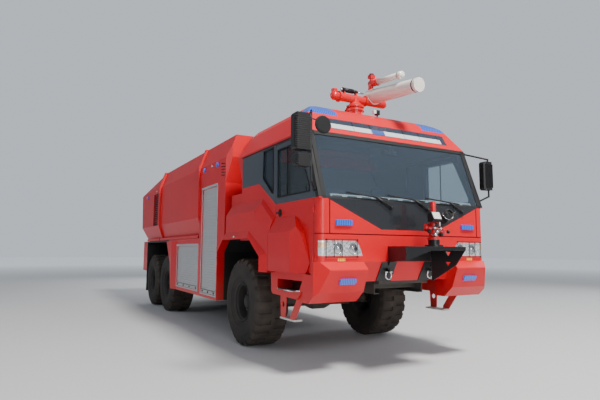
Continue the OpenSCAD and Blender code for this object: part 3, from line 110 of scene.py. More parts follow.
def addLights():
    for name, (place, aim, size, power, colour) in lights.items():
        data = bpy.data.lights.new(name, "AREA")
        data.size = size
        data.energy = power
        data.color = colour
        source = addObject(name, data)
        source.location = place
        source.rotation_euler = (Vector(aim) - Vector(place)).to_track_quat("-Z", "Y").to_euler()
    world = bpy.data.worlds.new("studio")
    world.use_nodes = True
    sky = world.node_tree.nodes["Background"].inputs
    net = Graph(world.node_tree)
    seen = net.node("LightPath").outputs["Is Camera Ray"]
    strength = net.mixValue(seen, studio["fill"], studio["backdrop"])
    net.fill(sky, {"Color": studio["sky"], "Strength": strength})
    bpy.context.scene.world = world


# Sockets of the mix node for each kind of value: first, second and result
mixSockets = {"RGBA": (6, 7, 2), "FLOAT": (2, 3, 0)}


# Node trees are written through one small helper
class Graph:
    def __init__(self, tree):
        self.tree = tree

    def node(self, kind, **options):
        made = self.tree.nodes.new("ShaderNode" + kind)
        for key, value in options.items():
            setattr(made, key, value)
        return made

    def feed(self, value, socket):
        if isinstance(value, bpy.types.NodeSocket):
            self.tree.links.new(value, socket)
        else:
            socket.default_value = (*value, 1.0) if socket.type == "RGBA" else value

    def fill(self, inputs, values):
        for label, value in values.items():
            self.feed(value, inputs[label])

    def math(self, operation, *values, clamp=False):
        made = self.node("Math", operation=operation, use_clamp=clamp)
        self.fill(made.inputs, dict(enumerate(values)))
        return made.outputs[0]

    def plus(self, a, b):
        return self.math("ADD", a, b)

    def minus(self, a, b):
        return self.math("SUBTRACT", a, b)

    def times(self, *values):
        total = values[0]
        for value in values[1:]:
            total = self.math("MULTIPLY", total, value)
        return total

    def reach(self, a, b):
        return self.math("SQRT", self.plus(self.times(a, a), self.times(b, b)))

    def above(self, value, limit):
        return self.math("GREATER_THAN", value, limit)

    def below(self, value, limit):
        return self.math("LESS_THAN", value, limit)

    def between(self, value, low, high):
        return self.times(self.above(value, low), self.below(value, high))

    def tone(self, colour, factor):
        made = self.node("VectorMath", operation="SCALE")
        self.fill(made.inputs, {0: colour, "Scale": factor})
        return made.outputs[0]

    def split(self, vector):
        made = self.node("SeparateXYZ")
        self.feed(vector, made.inputs[0])
        return made.outputs

    def place(self):
        return self.node("TexCoord").outputs["Object"]

    def axes(self):
        return self.split(self.place())

    def geometry(self, label):
        return self.node("NewGeometry").outputs[label]

    def noise(self, scale, detail=3.0, place=None):
        made = self.node("TexNoise")
        where = self.place() if place is None else place
        self.fill(made.inputs, {"Scale": scale, "Detail": detail, "Vector": where})
        return made.outputs["Fac"]

    def blend(self, kind, factor, a, b):
        made = self.node("Mix", data_type=kind)
        first, second, result = mixSockets[kind]
        self.fill(made.inputs, {0: factor, first: a, second: b})
        return made.outputs[result]

    def mix(self, factor, a, b):
        return self.blend("RGBA", factor, a, b)

    def mixValue(self, factor, a, b):
        return self.blend("FLOAT", factor, a, b)


# Shared effects, each a group with named sockets
effect = {"cloudDetail": 6.0, "cloudLift": 0.5, "grainDetail": 4.0, "wearScale": 38.0, "wearDetail": 5.0,
          "wearLimit": 0.47}


def sockets(kind, *labels):
    return [(label, "NodeSocket" + kind) for label in labels]


def shaderGroup(name, inputs, outputs, build):
    tree = bpy.data.node_groups.new(name, "ShaderNodeTree")
    for way, rows in (("INPUT", inputs), ("OUTPUT", outputs)):
        for label, kind in rows:
            tree.interface.new_socket(label, in_out=way, socket_type=kind)
    net = Graph(tree)
    source = tree.nodes.new("NodeGroupInput").outputs
    target = tree.nodes.new("NodeGroupOutput").inputs
    net.fill(target, build(net, source))
    return tree


def buildRoadDust(net, source):
    place = net.place()
    fall = net.minus(source["High"], net.split(place)[2])
    rise = net.math("DIVIDE", fall, net.minus(source["High"], source["Low"]), clamp=True)
    cloud = net.plus(net.noise(source["Scale"], effect["cloudDetail"], place), effect["cloudLift"])
    return {"Mask": net.times(rise, cloud, source["Amount"])}


def buildBoxMask(net, source):
    x, y, z = net.axes()
    lows, highs = net.split(source["Low"]), net.split(source["High"])
    values = (x, net.math("ABSOLUTE", y), z)
    return {"Mask": net.times(*(net.between(values[i], lows[i], highs[i]) for i in range(3)))}


def buildRadialMask(net, source):
    x, _, z = net.axes()
    radius = net.reach(net.minus(x, source["CentreX"]), net.minus(z, source["CentreZ"]))
    return {"Radius": radius, "Mask": net.below(radius, source["Reach"])}


def buildFineGrain(net, source):
    bump = net.node("Bump")
    net.fill(bump.inputs, {"Strength": source["Strength"], "Distance": 0.002,
                           "Height": net.noise(source["Scale"], effect["grainDetail"])})
    return {"Normal": bump.outputs["Normal"]}


def buildEdgeWear(net, source):
    bevel = net.node("Bevel", samples=3)
    net.feed(source["Width"], bevel.inputs["Radius"])
    dot = net.node("VectorMath", operation="DOT_PRODUCT")
    net.fill(dot.inputs, {0: bevel.outputs["Normal"], 1: net.geometry("Normal")})
    edge = net.math("SUBTRACT", 1.0, dot.outputs["Value"], clamp=True)
    patchy = net.above(net.noise(effect["wearScale"], effect["wearDetail"]), effect["wearLimit"])
    return {"Mask": net.times(edge, patchy, source["Amount"])}


oneMask = sockets("Float", "Mask")
groups = {name: shaderGroup(name, *parts) for name, parts in {
    "roadDust": (sockets("Float", "Low", "High", "Scale", "Amount"), oneMask, buildRoadDust),
    "boxMask": (sockets("Vector", "Low", "High"), oneMask, buildBoxMask),
    "radialMask": (sockets("Float", "CentreX", "CentreZ", "Reach"), sockets("Float", "Radius", "Mask"),
                   buildRadialMask),
    "fineGrain": (sockets("Float", "Scale", "Strength"), sockets("Vector", "Normal"), buildFineGrain),
    "edgeWear": (sockets("Float", "Width", "Amount"), oneMask, buildEdgeWear),
}.items()}


def useGroup(net, name, **values):
    made = net.node("Group")
    made.node_tree = groups[name]
    net.fill(made.inputs, values)
    return made.outputs


# Mask of a box: front and rear stations, distances off the middle, and heights
def boxMask(net, s0, s1, y0, y1, z0, z1):
    return useGroup(net, "boxMask", Low=(faceX - s1, y0, z0), High=(faceX - s0, y1, z1))["Mask"]


# Colours as linear red, green, blue
red = (0.62, 0.006, 0.013)
slate = (0.055, 0.068, 0.085)
cream = (0.78, 0.75, 0.68)
coal = (0.012, 0.012, 0.013)
# shadedRed is the red paint darkened: painted shade in the step hollows and the front's seam grooves
shadedRed = (0.07, 0.004, 0.004)
dust = (0.3, 0.24, 0.18)
metal = (0.62, 0.63, 0.64)


def startMaterial(name):
    material = bpy.data.materials.new(name)
    material.use_nodes = True
    return material, Graph(material.node_tree), material.node_tree.nodes["Principled BSDF"].inputs


# Solid finish: one colour, others by a mask or an area's name, worn edges, dust low down, and grain
look = {"toneScale": 1.7, "toneSwing": 0.16, "toneBase": 0.92, "dustRough": 0.85}


def solid(name, colour, rough=0.4, metallic=0.0, coat=0.0, gloss=0.5, masks=(), wear=0.0, dirt=0.0,
          dirtTop=1.2, grain=0.0, grainScale=60.0):
    material, net, shader = startMaterial(name)
    tone = net.math("MULTIPLY_ADD", net.noise(look["toneScale"]), look["toneSwing"], look["toneBase"])
    shade, roughness = net.tone(colour, tone), rough
    for source, other, otherRough in masks:
        mask = boxMask(net, *areas[source]) if source in areas else source(net)
        shade = net.mix(mask, shade, other)
        roughness = net.mixValue(mask, roughness, otherRough)
    if wear:
        worn = useGroup(net, "edgeWear", Width=0.006, Amount=wear)["Mask"]
        shade = net.mix(worn, shade, metal)
    if dirt:
        dusty = useGroup(net, "roadDust", Low=0.1, High=dirtTop, Scale=3.0, Amount=dirt)["Mask"]
        shade = net.mix(dusty, shade, dust)
        roughness = net.mixValue(dusty, roughness, look["dustRough"])
    net.fill(shader, {"Base Color": shade, "Roughness": roughness, "Metallic": metallic, "Coat Weight": coat,
                      "Specular IOR Level": gloss, "Coat Roughness": 0.06})
    if grain:
        net.feed(useGroup(net, "fineGrain", Scale=grainScale, Strength=grain)["Normal"], shader["Normal"])
    return material


# Pane: mostly see-through, with a sharp reflection; the quarter windows are smoked
glass = {"mirror": 0.6, "smoke": (0.05, 0.06, 0.07),
         "quarter": (1.25, 1.7, cabHalf - 0.04, cabHalf, 2.3, 3.1)}


def pane(name, film, tint, haze):
    material, net, shader = startMaterial(name)
    net.fill(shader, {"Base Color": film, "Roughness": 0.03, "Specular IOR Level": 0.8})
    clear = net.node("BsdfTransparent")
    smoked = boxMask(net, *glass["quarter"])
    net.feed(net.mix(smoked, tint, glass["smoke"]), clear.inputs["Color"])
    facing = net.node("LayerWeight")
    net.feed(0.3, facing.inputs["Blend"])
    outside = net.minus(1.0, net.geometry("Backfacing"))
    share = net.times(net.math("MULTIPLY_ADD", facing.outputs["Fresnel"], glass["mirror"], haze), outside)
    own = material.node_tree.nodes
    joined = net.node("MixShader")
    net.fill(joined.inputs, {0: share, 1: clear.outputs[0], 2: own["Principled BSDF"].outputs[0]})
    net.feed(joined.outputs[0], own["Material Output"].inputs["Surface"])
    return material


# Lamp lens: deep colour with a ribbed glow
rib = {"pitch": 180.0, "swing": 0.22, "base": 0.8}


def lens(name, colour, glow):
    material, net, shader = startMaterial(name)
    x, y, _ = net.axes()
    wave = net.math("SINE", net.times(net.plus(y, x), rib["pitch"]))
    shade = net.tone(colour, net.math("MULTIPLY_ADD", wave, rib["swing"], rib["base"]))
    net.fill(shader, {"Base Color": shade, "Emission Color": shade, "Emission Strength": glow,
                      "Roughness": 0.12, "Coat Weight": 0.8})
    return material


# Headlamp unit: cut-glass sparkle painted into its colour as painted highlights, an amber outer end, black
# guard wires in front, and a lamp on the side
head = {"paintedGlint": 1.3, "pale": (0.98, 0.99, 1.0), "deep": (0.22, 0.23, 0.25),
        "amberEnd": (-0.001, 0.2, 1.35, 1.5, 1.575, 1.64), "amber": (0.95, 0.42, 0.05), "amberShare": 0.6,
        "wires": (-0.1, -0.0015, 0.0, 1.5, 1.3, 1.8), "metallic": 0.45, "sideFrom": 0.7,
        "side": (0.8, 0.78, 0.7)}


def headMaterial():
    material, net, shader = startMaterial("headLens")
    cells = net.node("TexVoronoi")
    net.fill(cells.inputs, {"Vector": net.place(), "Scale": 42.0})
    # painted highlights: the cell pattern paints the cut glass's sparkle, pale and dark
    paintedGlint = net.math("POWER", cells.outputs["Distance"], head["paintedGlint"])
    shade = net.mix(paintedGlint, head["pale"], head["deep"])
    amberEnd = net.times(boxMask(net, *head["amberEnd"]), head["amberShare"])
    shade = net.mix(amberEnd, shade, head["amber"])
    wires = boxMask(net, *head["wires"])
    shade = net.mix(wires, shade, coal)
    sideLamp = net.below(net.axes()[0], faceX - head["sideFrom"])
    net.fill(shader, {"Base Color": net.mix(sideLamp, shade, head["side"]),
                      "Metallic": net.times(net.minus(1.0, wires), head["metallic"]),
                      "Roughness": 0.14, "Coat Weight": 0.6})
    return material


# Slate window band of a cab side, its lower edge climbing between two stations, and the front pillar
band = {"low": 2.2, "bend": 1.2, "rise": 2.57, "riseAt": 1.804, "back": 2.49, "top": 3.075, "deep": 0.06,
        "lean": 0.3636, "pillar": 0.075, "pillarTop": 3.12}


def bandMask(net):
    x, y, z = net.axes()
    s = net.minus(faceX, x)
    climb = band["rise"] - band["low"]
    ramp = net.times(net.minus(s, band["bend"]), climb / (band["riseAt"] - band["bend"]))
    line = net.plus(net.math("MINIMUM", net.math("MAXIMUM", ramp, 0.0), climb), band["low"])
    outer = net.above(net.math("ABSOLUTE", y), cabHalf - band["deep"])
    return net.times(outer, net.above(z, line), net.below(z, band["top"]), net.below(s, band["back"]))


def pillarMask(net):
    x, _, z = net.axes()
    edge = net.times(net.minus(z, band["low"]), band["lean"])
    near = net.below(net.minus(net.minus(faceX, x), edge), band["pillar"])
    return net.times(near, net.above(z, band["low"]), net.below(z, band["pillarTop"]))


# Stripe of a front face between two widths and two heights
def stripeMask(y0, y1, z0, z1):
    def build(net):
        _, y, z = net.axes()
        return net.times(net.between(y, y0, y1), net.between(z, z0, z1))
    return build


# Seam lines of the front, one across and one down each side from the waist, painted dark red as painted shade
# in their grooves
seam = {"z": 1.75, "y": 1.296, "half": 0.007, "top": 2.19, "deep": 0.02}


def seamShadeMask(net):
    x, y, z = net.axes()
    level = net.between(z, seam["z"] - seam["half"], seam["z"] + seam["half"])
    upright = net.between(net.math("ABSOLUTE", y), seam["y"] - seam["half"], seam["y"] + seam["half"])
    tall = net.times(upright, net.between(z, seam["z"], seam["top"]))
    return net.math("MAXIMUM", level, net.times(tall, net.above(x, faceX - seam["deep"])))


# Lining of the roof: its faces that look down or inwards over the cab's inside
lining = {"box": (0.3, 2.5, -1.0, cabHalf - 0.03, 3.0, 3.58), "facing": -0.15}


def liningMask(net):
    normal = net.split(net.geometry("Normal"))
    outward = net.times(net.axes()[1], normal[1])
    inside = boxMask(net, *lining["box"])
    return net.times(inside, net.below(net.plus(normal[2], outward), lining["facing"]))


# Dark underside: what lies inboard of a width and below a height
def underMask(half, height):
    def build(net):
        _, y, z = net.axes()
        return net.times(net.below(net.math("ABSOLUTE", y), half), net.below(z, height))
    return build


# Monitor's barrel, measured along its dipped axis, with its cream tubes and black rings
barrel = {"s": 1.32, "y": 0.4, "z": 4.03, "dip": math.radians(6.3), "up": 0.097, "length": 1.13,
          "tubeY": 0.35, "tubeUp": 0.31, "skin": 0.1378, "creamFrom": -0.0705, "tubeLow": 0.25,
          "tubeFrom": 0.1495, "ring": (0.082, 0.0545), "knobLow": 0.4575}


def barrelAxes(net):
    axes = net.axes()
    x, y = net.minus(axes[0], faceX - barrel["s"]), net.minus(axes[1], barrel["y"])
    z = net.minus(axes[2], barrel["z"])
    c, d = math.cos(barrel["dip"]), math.sin(barrel["dip"])
    return net.minus(net.times(x, c), net.times(z, d)), y, net.plus(net.times(x, d), net.times(z, c))


def creamMask(net):
    along, y, up = barrelAxes(net)
    radius = net.reach(y, net.minus(up, barrel["up"]))
    main = net.times(net.below(radius, barrel["skin"]), net.above(along, barrel["creamFrom"]))
    small = net.times(net.above(up, barrel["tubeLow"]), net.above(along, barrel["tubeFrom"]))
    return net.math("MAXIMUM", main, small)


def ringMask(net):
    along, _, up = barrelAxes(net)
    low, high = (barrel["length"] - back for back in barrel["ring"])
    return net.math("MAXIMUM", net.between(along, low, high), net.above(up, barrel["knobLow"]))


# One material for each wheel, with the rim told from the tyre by its radius; the rim is painted near black as
# painted shade in the wheel's hollow, and both carry real dust
tread = {"cloudScale": 5.0, "dustFrom": 0.6, "dustRise": 8.0, "dustShare": 0.4, "dustBase": 0.2,
         "black": (0.018, 0.018, 0.019), "dusty": (0.2, 0.155, 0.115), "steel": (0.025, 0.025, 0.027),
         "dustyShadedRim": (0.12, 0.1, 0.085), "steelShare": 0.5}


def wheelMaterial(name, axle):
    material, net, shader = startMaterial(name)
    radial = useGroup(net, "radialMask", CentreX=faceX - axle, CentreZ=tyreR, Reach=0.309)
    cloud = net.noise(tread["cloudScale"], effect["cloudDetail"])
    past = net.minus(radial["Radius"], tread["dustFrom"])
    outer = net.math("MULTIPLY", past, tread["dustRise"], clamp=True)
    dirty = net.math("MULTIPLY_ADD", outer, tread["dustShare"], tread["dustBase"], clamp=True)
    tyre = net.mix(net.times(dirty, cloud), tread["black"], tread["dusty"])
    rimShare = net.times(cloud, tread["steelShare"])
    # the rim's near-black colour is painted shade; the cloud mixes in real dust
    steel = net.mix(rimShare, tread["steel"], tread["dustyShadedRim"])
    grain = useGroup(net, "fineGrain", Scale=75.0, Strength=0.35)["Normal"]
    net.fill(shader, {"Base Color": net.mix(radial["Mask"], tyre, steel), "Roughness": 0.82,
                      "Specular IOR Level": 0.3, "Normal": grain})
    return material


# Areas of another colour: front and rear stations, distances off the middle, and heights
areas = {"barRecess": (0.28, 0.54, -1.0, 1.1505, 3.1995, 3.3705),
         "stepTread": (0.66, 1.12, 1.2, 1.5, 0.59, 0.627),
         # the step's hollow is painted dark red as painted shade inside the hole
         "stepHollowShade": (0.44, 1.14, 1.15, cabHalf - 0.0105, 1.0, 1.15),
         "floodlight": (-0.367, -0.2895, 0.0, 0.163, 1.92, 2.045),
         "tiltDrive": (1.2, 1.4, -1.0, 0.205, 4.1385, 4.25)}


# Light bar: white for most of its width, with a blue part
barStripe = {"white": (-1.08, 1.05, 3.212, 3.288), "blue": (-0.3, -0.07, 3.212, 3.288)}
# Half width and height within which the body, the cab's sides and its tub are dark
under = {"body": (bodyHalf - 0.145, 1.775), "side": (cabHalf - 0.048, 3.2), "tub": (9.0, 1.71)}

# Finishes: a colour and a roughness, then what differs from a plain solid
paint = {"coat": 0.12, "gloss": 0.3}
coatedPaint = {"coat": 0.3, "gloss": 0.4}
finishes = {
    "body": solid("bodyPaint", red, 0.38, dirt=0.25, masks=[(underMask(*under["body"]), coal, 0.9)], **paint),
    "cab": solid("cabPaint", red, 0.36, dirt=0.1,
                 # the seam mask paints painted shade, dark red, into the front's seam grooves
                 masks=[("barRecess", (0.02, 0.022, 0.026), 0.5), (seamShadeMask, shadedRed, 0.6),
                        (liningMask, (0.1, 0.105, 0.11), 0.8)], **paint),
    "side": solid("cabSidePaint", red, 0.36, dirt=0.15,
                  masks=[(bandMask, slate, 0.35), (pillarMask, coal, 0.5),
                         (underMask(*under["side"]), coal, 0.8)], **paint),
    "inside": solid("cabLining", (0.16, 0.165, 0.17), 0.8, grain=0.2,
                    masks=[(underMask(*under["tub"]), coal, 0.85)]),
    "steps": solid("stepPaint", red, 0.4, dirt=0.3,
                   masks=[("stepTread", (0.55, 0.55, 0.53), 0.6),
                          # painted shade: the inside of the step's hole is dark red
                          ("stepHollowShade", shadedRed, 0.6)], **paint),
    "turret": solid("turretPaint", red, 0.3, wear=0.3, masks=[("floodlight", coal, 0.4)],
                    **coatedPaint),
    "monitor": solid("monitorPaint", red, 0.3, masks=[("tiltDrive", coal, 0.4)], **coatedPaint),
    "barrel": solid("barrelPaint", red, 0.35, masks=[(creamMask, cream, 0.4), (ringMask, coal, 0.5)],
                    **coatedPaint),
    "fitting": solid("fittingPaint", red, 0.32, **coatedPaint),
    "cream": solid("creamPaint", cream, 0.4, coat=0.3),
    "nose": solid("nosePaint", (0.022, 0.024, 0.028), 0.2, coat=0.6),
    "black": solid("blackPlastic", coal, 0.45, grain=0.15, dirt=0.15, gloss=0.35),
    "tray": solid("trayPaint", (0.009, 0.009, 0.01), 0.4, coat=0.15, wear=0.3, gloss=0.35),
    "frame": solid("framePaint", (0.014, 0.014, 0.015), 0.6, dirt=0.35, dirtTop=1.7, grain=0.2,
                   grainScale=30.0),
    "axle": solid("axlePaint", (0.022, 0.021, 0.02), 0.65, dirt=0.5, dirtTop=1.5, grain=0.3,
                  grainScale=30.0),
    "shutter": solid("shutterMetal", (0.5, 0.51, 0.52), 0.4, metallic=0.5, dirt=0.25, grain=0.1,
                     grainScale=200.0),
    "bright": solid("brightSteel", (0.66, 0.67, 0.68), 0.22, metallic=1.0, wear=0.2),
    "seat": solid("seatCloth", (0.035, 0.04, 0.055), 0.95, grain=0.6, grainScale=220.0),
    "dash": solid("dashPlastic", (0.11, 0.115, 0.125), 0.6, grain=0.3, grainScale=120.0),
    "rubber": solid("blackRubber", (0.014, 0.014, 0.015), 0.7, grain=0.2, gloss=0.3),
    "screen": pane("screenGlass", (0.095, 0.13, 0.175), (0.8, 0.86, 0.89), 0.3),
    "doorPane": pane("doorGlass", (0.16, 0.2, 0.23), (0.82, 0.87, 0.89), 0.2),
    "blue": lens("blueLens", (0.03, 0.12, 0.6), 0.3),
    "lightBar": solid("lightBarLens", (0.028, 0.038, 0.058), 0.2, coat=0.6,
                      masks=[(stripeMask(*barStripe["white"]), (0.6, 0.63, 0.65), 0.2),
                             (stripeMask(*barStripe["blue"]), (0.04, 0.1, 0.32), 0.15)]),
    "head": headMaterial(),
    "amber": lens("amberLens", (0.9, 0.36, 0.02), 0.4),
    "tail": lens("tailLens", (0.42, 0.01, 0.01), 0.1),
    "white": solid("whitePaint", (0.75, 0.75, 0.73), 0.35, coat=0.5),
}
nodeFinish = {
    "cab": "cab_front cab_roof bumper", "side": "cab_side_left cab_side_right door_left door_right",
    "inside": "cab_tub", "body": "body_column body_tank body_rear", "steps": "steps", "turret": "turret_head",
    "monitor": "monitor_base monitor_arm", "barrel": "monitor_barrel", "nose": "nose_panel",
    "black": "turret_nozzle wipers mirrors mudguards", "tray": "turret_tray",
    "frame": "chassis_frame springs drive_shafts engine_block", "shutter": "shutters",
    "axle": "front_axle rear_axles knuckle_left knuckle_right track_rod", "dash": "dashboard",
    "bright": "shackles rear_ladder tank_hatch", "seat": "seats", "screen": "cab_glass", "blue": "blue_lamps",
    "doorPane": "door_glass_left door_glass_right", "lightBar": "light_bar", "head": "headlamps",
    "tail": "tail_lamps",
}


def dressNodes():
    table = {node: finishes[key] for key, names in nodeFinish.items() for node in names.split()}
    for axle, station in axles.items():
        for side in sides:
            wheelName = "%s_%s" % (axle, side)
            table["wheel_" + wheelName] = wheelMaterial("tyre_" + wheelName, station)
    for node, material in table.items():
        for holder in nodes[node].material_slots:
            holder.material = material
    print("nodes dressed:", len(table), "bare:", [node for node in nodes if node not in table])


# New pieces: a mesh built by a function, riding on a body, smooth unless it is flat or bevelled
def addPiece(name, build, finish="rubber", body="truck", bevel=0.0, flat=False):
    work = bmesh.new()
    build(work)
    bmesh.ops.recalc_face_normals(work, faces=work.faces)
    for face in work.faces:
        face.smooth = not (bevel or flat)
    mesh = meshOf(name, work)
    mesh.materials.append(finishes[finish])
    piece = addObject(name, mesh)
    if bevel:
        rounding = piece.modifiers.new("rounding", "BEVEL")
        rounding.width = bevel
        rounding.segments = 2
    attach(piece, body)
    return piece


# Box about a place in a turned frame
def turnedBox(work, place, size):
    bmesh.ops.create_cube(work, size=1, matrix=place @ Matrix.Diagonal((*size, 1)))


# Block by stations, as in the part's source but in metres
def block(work, s0, s1, y0, y1, z0, z1):
    low, high = at(s1, y0, z0), at(s0, y1, z1)
    turnedBox(work, moved((low + high) / 2), high - low)


def bar(work, a, b, radius, endRadius=None, facets=20):
    turn = (b - a).to_track_quat("Z", "Y").to_matrix().to_4x4()
    bmesh.ops.create_cone(work, cap_ends=True, segments=facets, radius1=radius,
                          radius2=radius if endRadius is None else endRadius, depth=(b - a).length,
                          matrix=moved((a + b) / 2) @ turn)


def ball(work, middle, radius):
    place = moved(middle)
    bmesh.ops.create_uvsphere(work, u_segments=16, v_segments=10, radius=radius, matrix=place)


# Ring of round section about an axis
def ring(work, middle, axis, radius, thick, steps=40):
    turn = Vector(axis).to_track_quat("Z", "Y").to_matrix().to_4x4()
    section = moved((radius, 0, 0)) @ Matrix.Rotation(math.tau / 4, 4, "X")
    part = bmesh.new()
    bmesh.ops.create_circle(part, segments=10, radius=thick, matrix=section)
    bmesh.ops.spin(part, geom=part.verts[:] + part.edges[:], cent=(0, 0, 0), axis=(0, 0, 1), steps=steps,
                   angle=math.tau, use_merge=True)
    bmesh.ops.transform(part, matrix=moved(middle) @ turn, verts=part.verts)
    mesh = meshOf("ring", part)
    work.from_mesh(mesh)
    bpy.data.meshes.remove(mesh)


# Builders for many like parts: each row is one bar as two ends and a radius, one ring or one block
def each(rows, add):
    def build(work):
        for row in rows:
            add(work, *row)
    return build


def bars(rows, facets=16):
    return each(rows, lambda work, a, b, radius: bar(work, at(*a), at(*b), radius, facets=facets))


def rings(rows, steps=40):
    return each(rows, lambda work, middle, *shape: ring(work, at(*middle), *shape, steps=steps))


def blocks(rows):
    return each(rows, block)


def bothSides(rows):
    return blocks(rows + [(r[0], r[1], -r[3], -r[2], r[4], r[5]) for r in rows])


# Rows for bars from point to point of a route
def route(points, radius):
    return [(a, b, radius) for a, b in zip(points, points[1:])]


# Equal steps from a first value
def run(first, step, count):
    return [first + step * i for i in range(count)]


# Windscreen trim is laid out on the glass: across the truck, up the slope, and outwards
screen = {"half": 1.4, "footZ": 2.19, "rise": 0.933, "run": 0.326, "seal": 0.055, "head": 0.06, "foot": 0.03,
          "gap": 0.004, "skin": (-0.006, 0.001), "strip": (-1.25, 1.25, 0.03, 0.085, -0.05, -0.035),
          "slots": (-1.15, 0.23, 11), "slotHalf": 0.075, "slot": (0.048, 0.066, -0.036, -0.0335),
          "mirror": [(0.4, 0.425, -0.13, 0.13, 2.93, 3.0), (0.36, 0.42, -0.015, 0.015, 2.99, 3.06)]}


def onScreen(rows):
    up = Vector((-screen["run"], 0, screen["rise"])).normalized()
    out = Vector((screen["rise"], 0, screen["run"])).normalized()
    turn = Matrix((Vector((0, 1, 0)), up, out)).transposed().to_4x4()

    def add(work, y0, y1, up0, up1, out0, out1):
        middle = at(0, (y0 + y1) / 2, screen["footZ"]) + up * (up0 + up1) / 2 + out * (out0 + out1) / 2
        turnedBox(work, moved(middle) @ turn, (y1 - y0, up1 - up0, out1 - out0))
    return each(rows, add)


def addScreenTrim():
    half, skin = screen["half"], screen["skin"]
    sideIn = half - screen["seal"]
    length = math.hypot(screen["rise"], screen["run"])
    top = length - screen["gap"]
    seal = [(-half, half, 0.0, screen["foot"], *skin), (-half, half, length - screen["head"], top, *skin)]
    seal += [(-half, -sideIn, 0.0, top, *skin), (sideIn, half, 0.0, top, *skin)]
    slots = [(y - screen["slotHalf"], y + screen["slotHalf"], *screen["slot"]) for y in run(*screen["slots"])]
    addPiece("windscreenSeal", onScreen(seal), flat=True)
    addPiece("demisterStrip", onScreen([screen["strip"]]), "white", bevel=0.003)
    addPiece("demisterSlots", onScreen(slots), "dash", flat=True)
    addPiece("innerMirror", blocks(screen["mirror"]), bevel=0.008)


# Headlamps: two bowls a side with a rim and a bulb, and amber markers beside them
lamp = {"z": 1.57, "y": (-0.95, -1.175, 0.95, 1.175), "radius": 0.07, "backRadius": 0.06,
        "front": 0.0026, "rim": 0.004, "bulbS": 0.006, "bulb": 0.022,
        "amber": (-0.008, 0.004, 1.07, 1.18, 1.408, 1.448)}


def addLampParts():
    def bowls(work):
        for y in lamp["y"]:
            back = at(0.0, y, lamp["z"])
            bar(work, at(lamp["front"], y, lamp["z"]), back, lamp["radius"], lamp["backRadius"], 32)
            ring(work, back, (1, 0, 0), lamp["radius"], lamp["rim"])
            ball(work, at(lamp["bulbS"], y, lamp["z"]), lamp["bulb"])

    addPiece("lampBowls", bowls, "bright")
    addPiece("amberMarkers", bothSides([lamp["amber"]]), "amber", bevel=0.003)


# Wheel nuts on a circle, and two ridges round the outer sidewall
wheel = {"nuts": 10, "nutCircle": 0.14, "nutR": 0.016, "nutLong": 0.03, "faceIn": 0.185,
         "ridges": (0.395, 0.47), "ridgeIn": 0.012, "ridgeR": 0.006}


def addWheelParts():
    for axle, station in axles.items():
        for name, side in sides.items():
            node = "wheel_%s_%s" % (axle, name)
            low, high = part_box(node)
            outer = max(abs(low[1]), abs(high[1]))
            face = outer - wheel["faceIn"]
            nuts = []
            for angle in run(0, math.tau / wheel["nuts"], wheel["nuts"]):
                s = station + wheel["nutCircle"] * math.cos(angle)
                z = tyreR + wheel["nutCircle"] * math.sin(angle)
                nuts.append(((s, side * face, z), (s, side * (face + wheel["nutLong"]), z), wheel["nutR"]))
            middle = (station, side * (outer - wheel["ridgeIn"]), tyreR)
            ridges = [(middle, (0, 1, 0), radius, wheel["ridgeR"]) for radius in wheel["ridges"]]
            addPiece(node.replace("wheel", "nuts"), bars(nuts, facets=6), "axle", node, flat=True)
            addPiece(node.replace("wheel", "ridges"), rings(ridges, steps=72), "rubber", node)


# Part on the body's side, by its inner and outer faces off the skin and its rise over two heights
def sidePart(shape, s0, s1, z0, z1):
    y0, y1, up0, up1 = shape
    return s0, s1, bodyHalf + y0, bodyHalf + y1, z0 + up0, z1 + up1


# Shutter openings as front station, rear station, foot, head and number of latches
shutter = {"openings": [(3.62, 4.51, 0.7, 2.75, 3), (4.75, 6.37, 0.723, 1.62, 4)], "wide": 0.03,
           "gap": 0.001, "latchEnd": 0.11, "upright": (-0.01, 0.004, -0.01, 0.045),
           "hood": (-0.01, 0.012, 0.004, 0.05), "sill": (-0.01, 0.004, -0.03, -0.002),
           "latch": (-0.008, -0.001, 0.016, 0.05), "rail": (-0.008, -0.004, 0.066, 0.072)}


def addShutterTrim():
    wide, gap, end = shutter["wide"], shutter["gap"], shutter["latchEnd"]
    guides, latches = [], []
    for s0, s1, z0, z1, count in shutter["openings"]:
        guides += [sidePart(shutter["upright"], s0 - wide, s0 - gap, z0, z1),
                   sidePart(shutter["upright"], s1 + gap, s1 + wide, z0, z1),
                   sidePart(shutter["hood"], s0 - wide, s1 + wide, z1, z1),
                   sidePart(shutter["sill"], s0 - wide, s1 + wide, z0, z0)]
        latches += [sidePart(shutter["latch"], s - wide, s + wide, z0, z0)
                    for s in run(s0 + end, (s1 - s0 - 2 * end) / (count - 1), count)]
        latches.append(sidePart(shutter["rail"], s0 + wide, s1 - wide, z0, z0))
    addPiece("shutterGuides", bothSides(guides), "shutter", bevel=0.003)
    addPiece("shutterLatches", bothSides(latches), bevel=0.002)


# Air intake on each side of the tail: a frame round the opening and slats inside it
intake = {"s": (8.49, 9.09), "z": (2.215, 3.105), "edge": 0.02, "frame": (-0.002, 0.006, 0, 0),
          "slatS": (8.515, 9.065), "slats": (2.25, 0.055, 15), "slat": (-0.035, -0.012, 0, 0.025)}
# Slots in the collar, bolts of the lockers, and louvres across the tail
collar = {"s": (3.22, 3.42), "y": bodyHalf - 0.011, "rows": (2.899, 0.054, 5), "rise": 0.026,
          "radius": 0.0085}
bolt = {"s": (3.585, 4.58, 4.7, 6.42), "y": (bodyHalf + 0.001, bodyHalf + 0.007), "z": (0.8, 1.1, 1.4, 1.58),
        "radius": 0.009}
louvre = {"y": (-0.7, 0.95), "rows": (2.35, 0.06, 11), "tall": 0.035, "leanFrom": 3.15, "lean": 0.11 / 0.945,
          "deep": 0.02, "gap": 0.001}


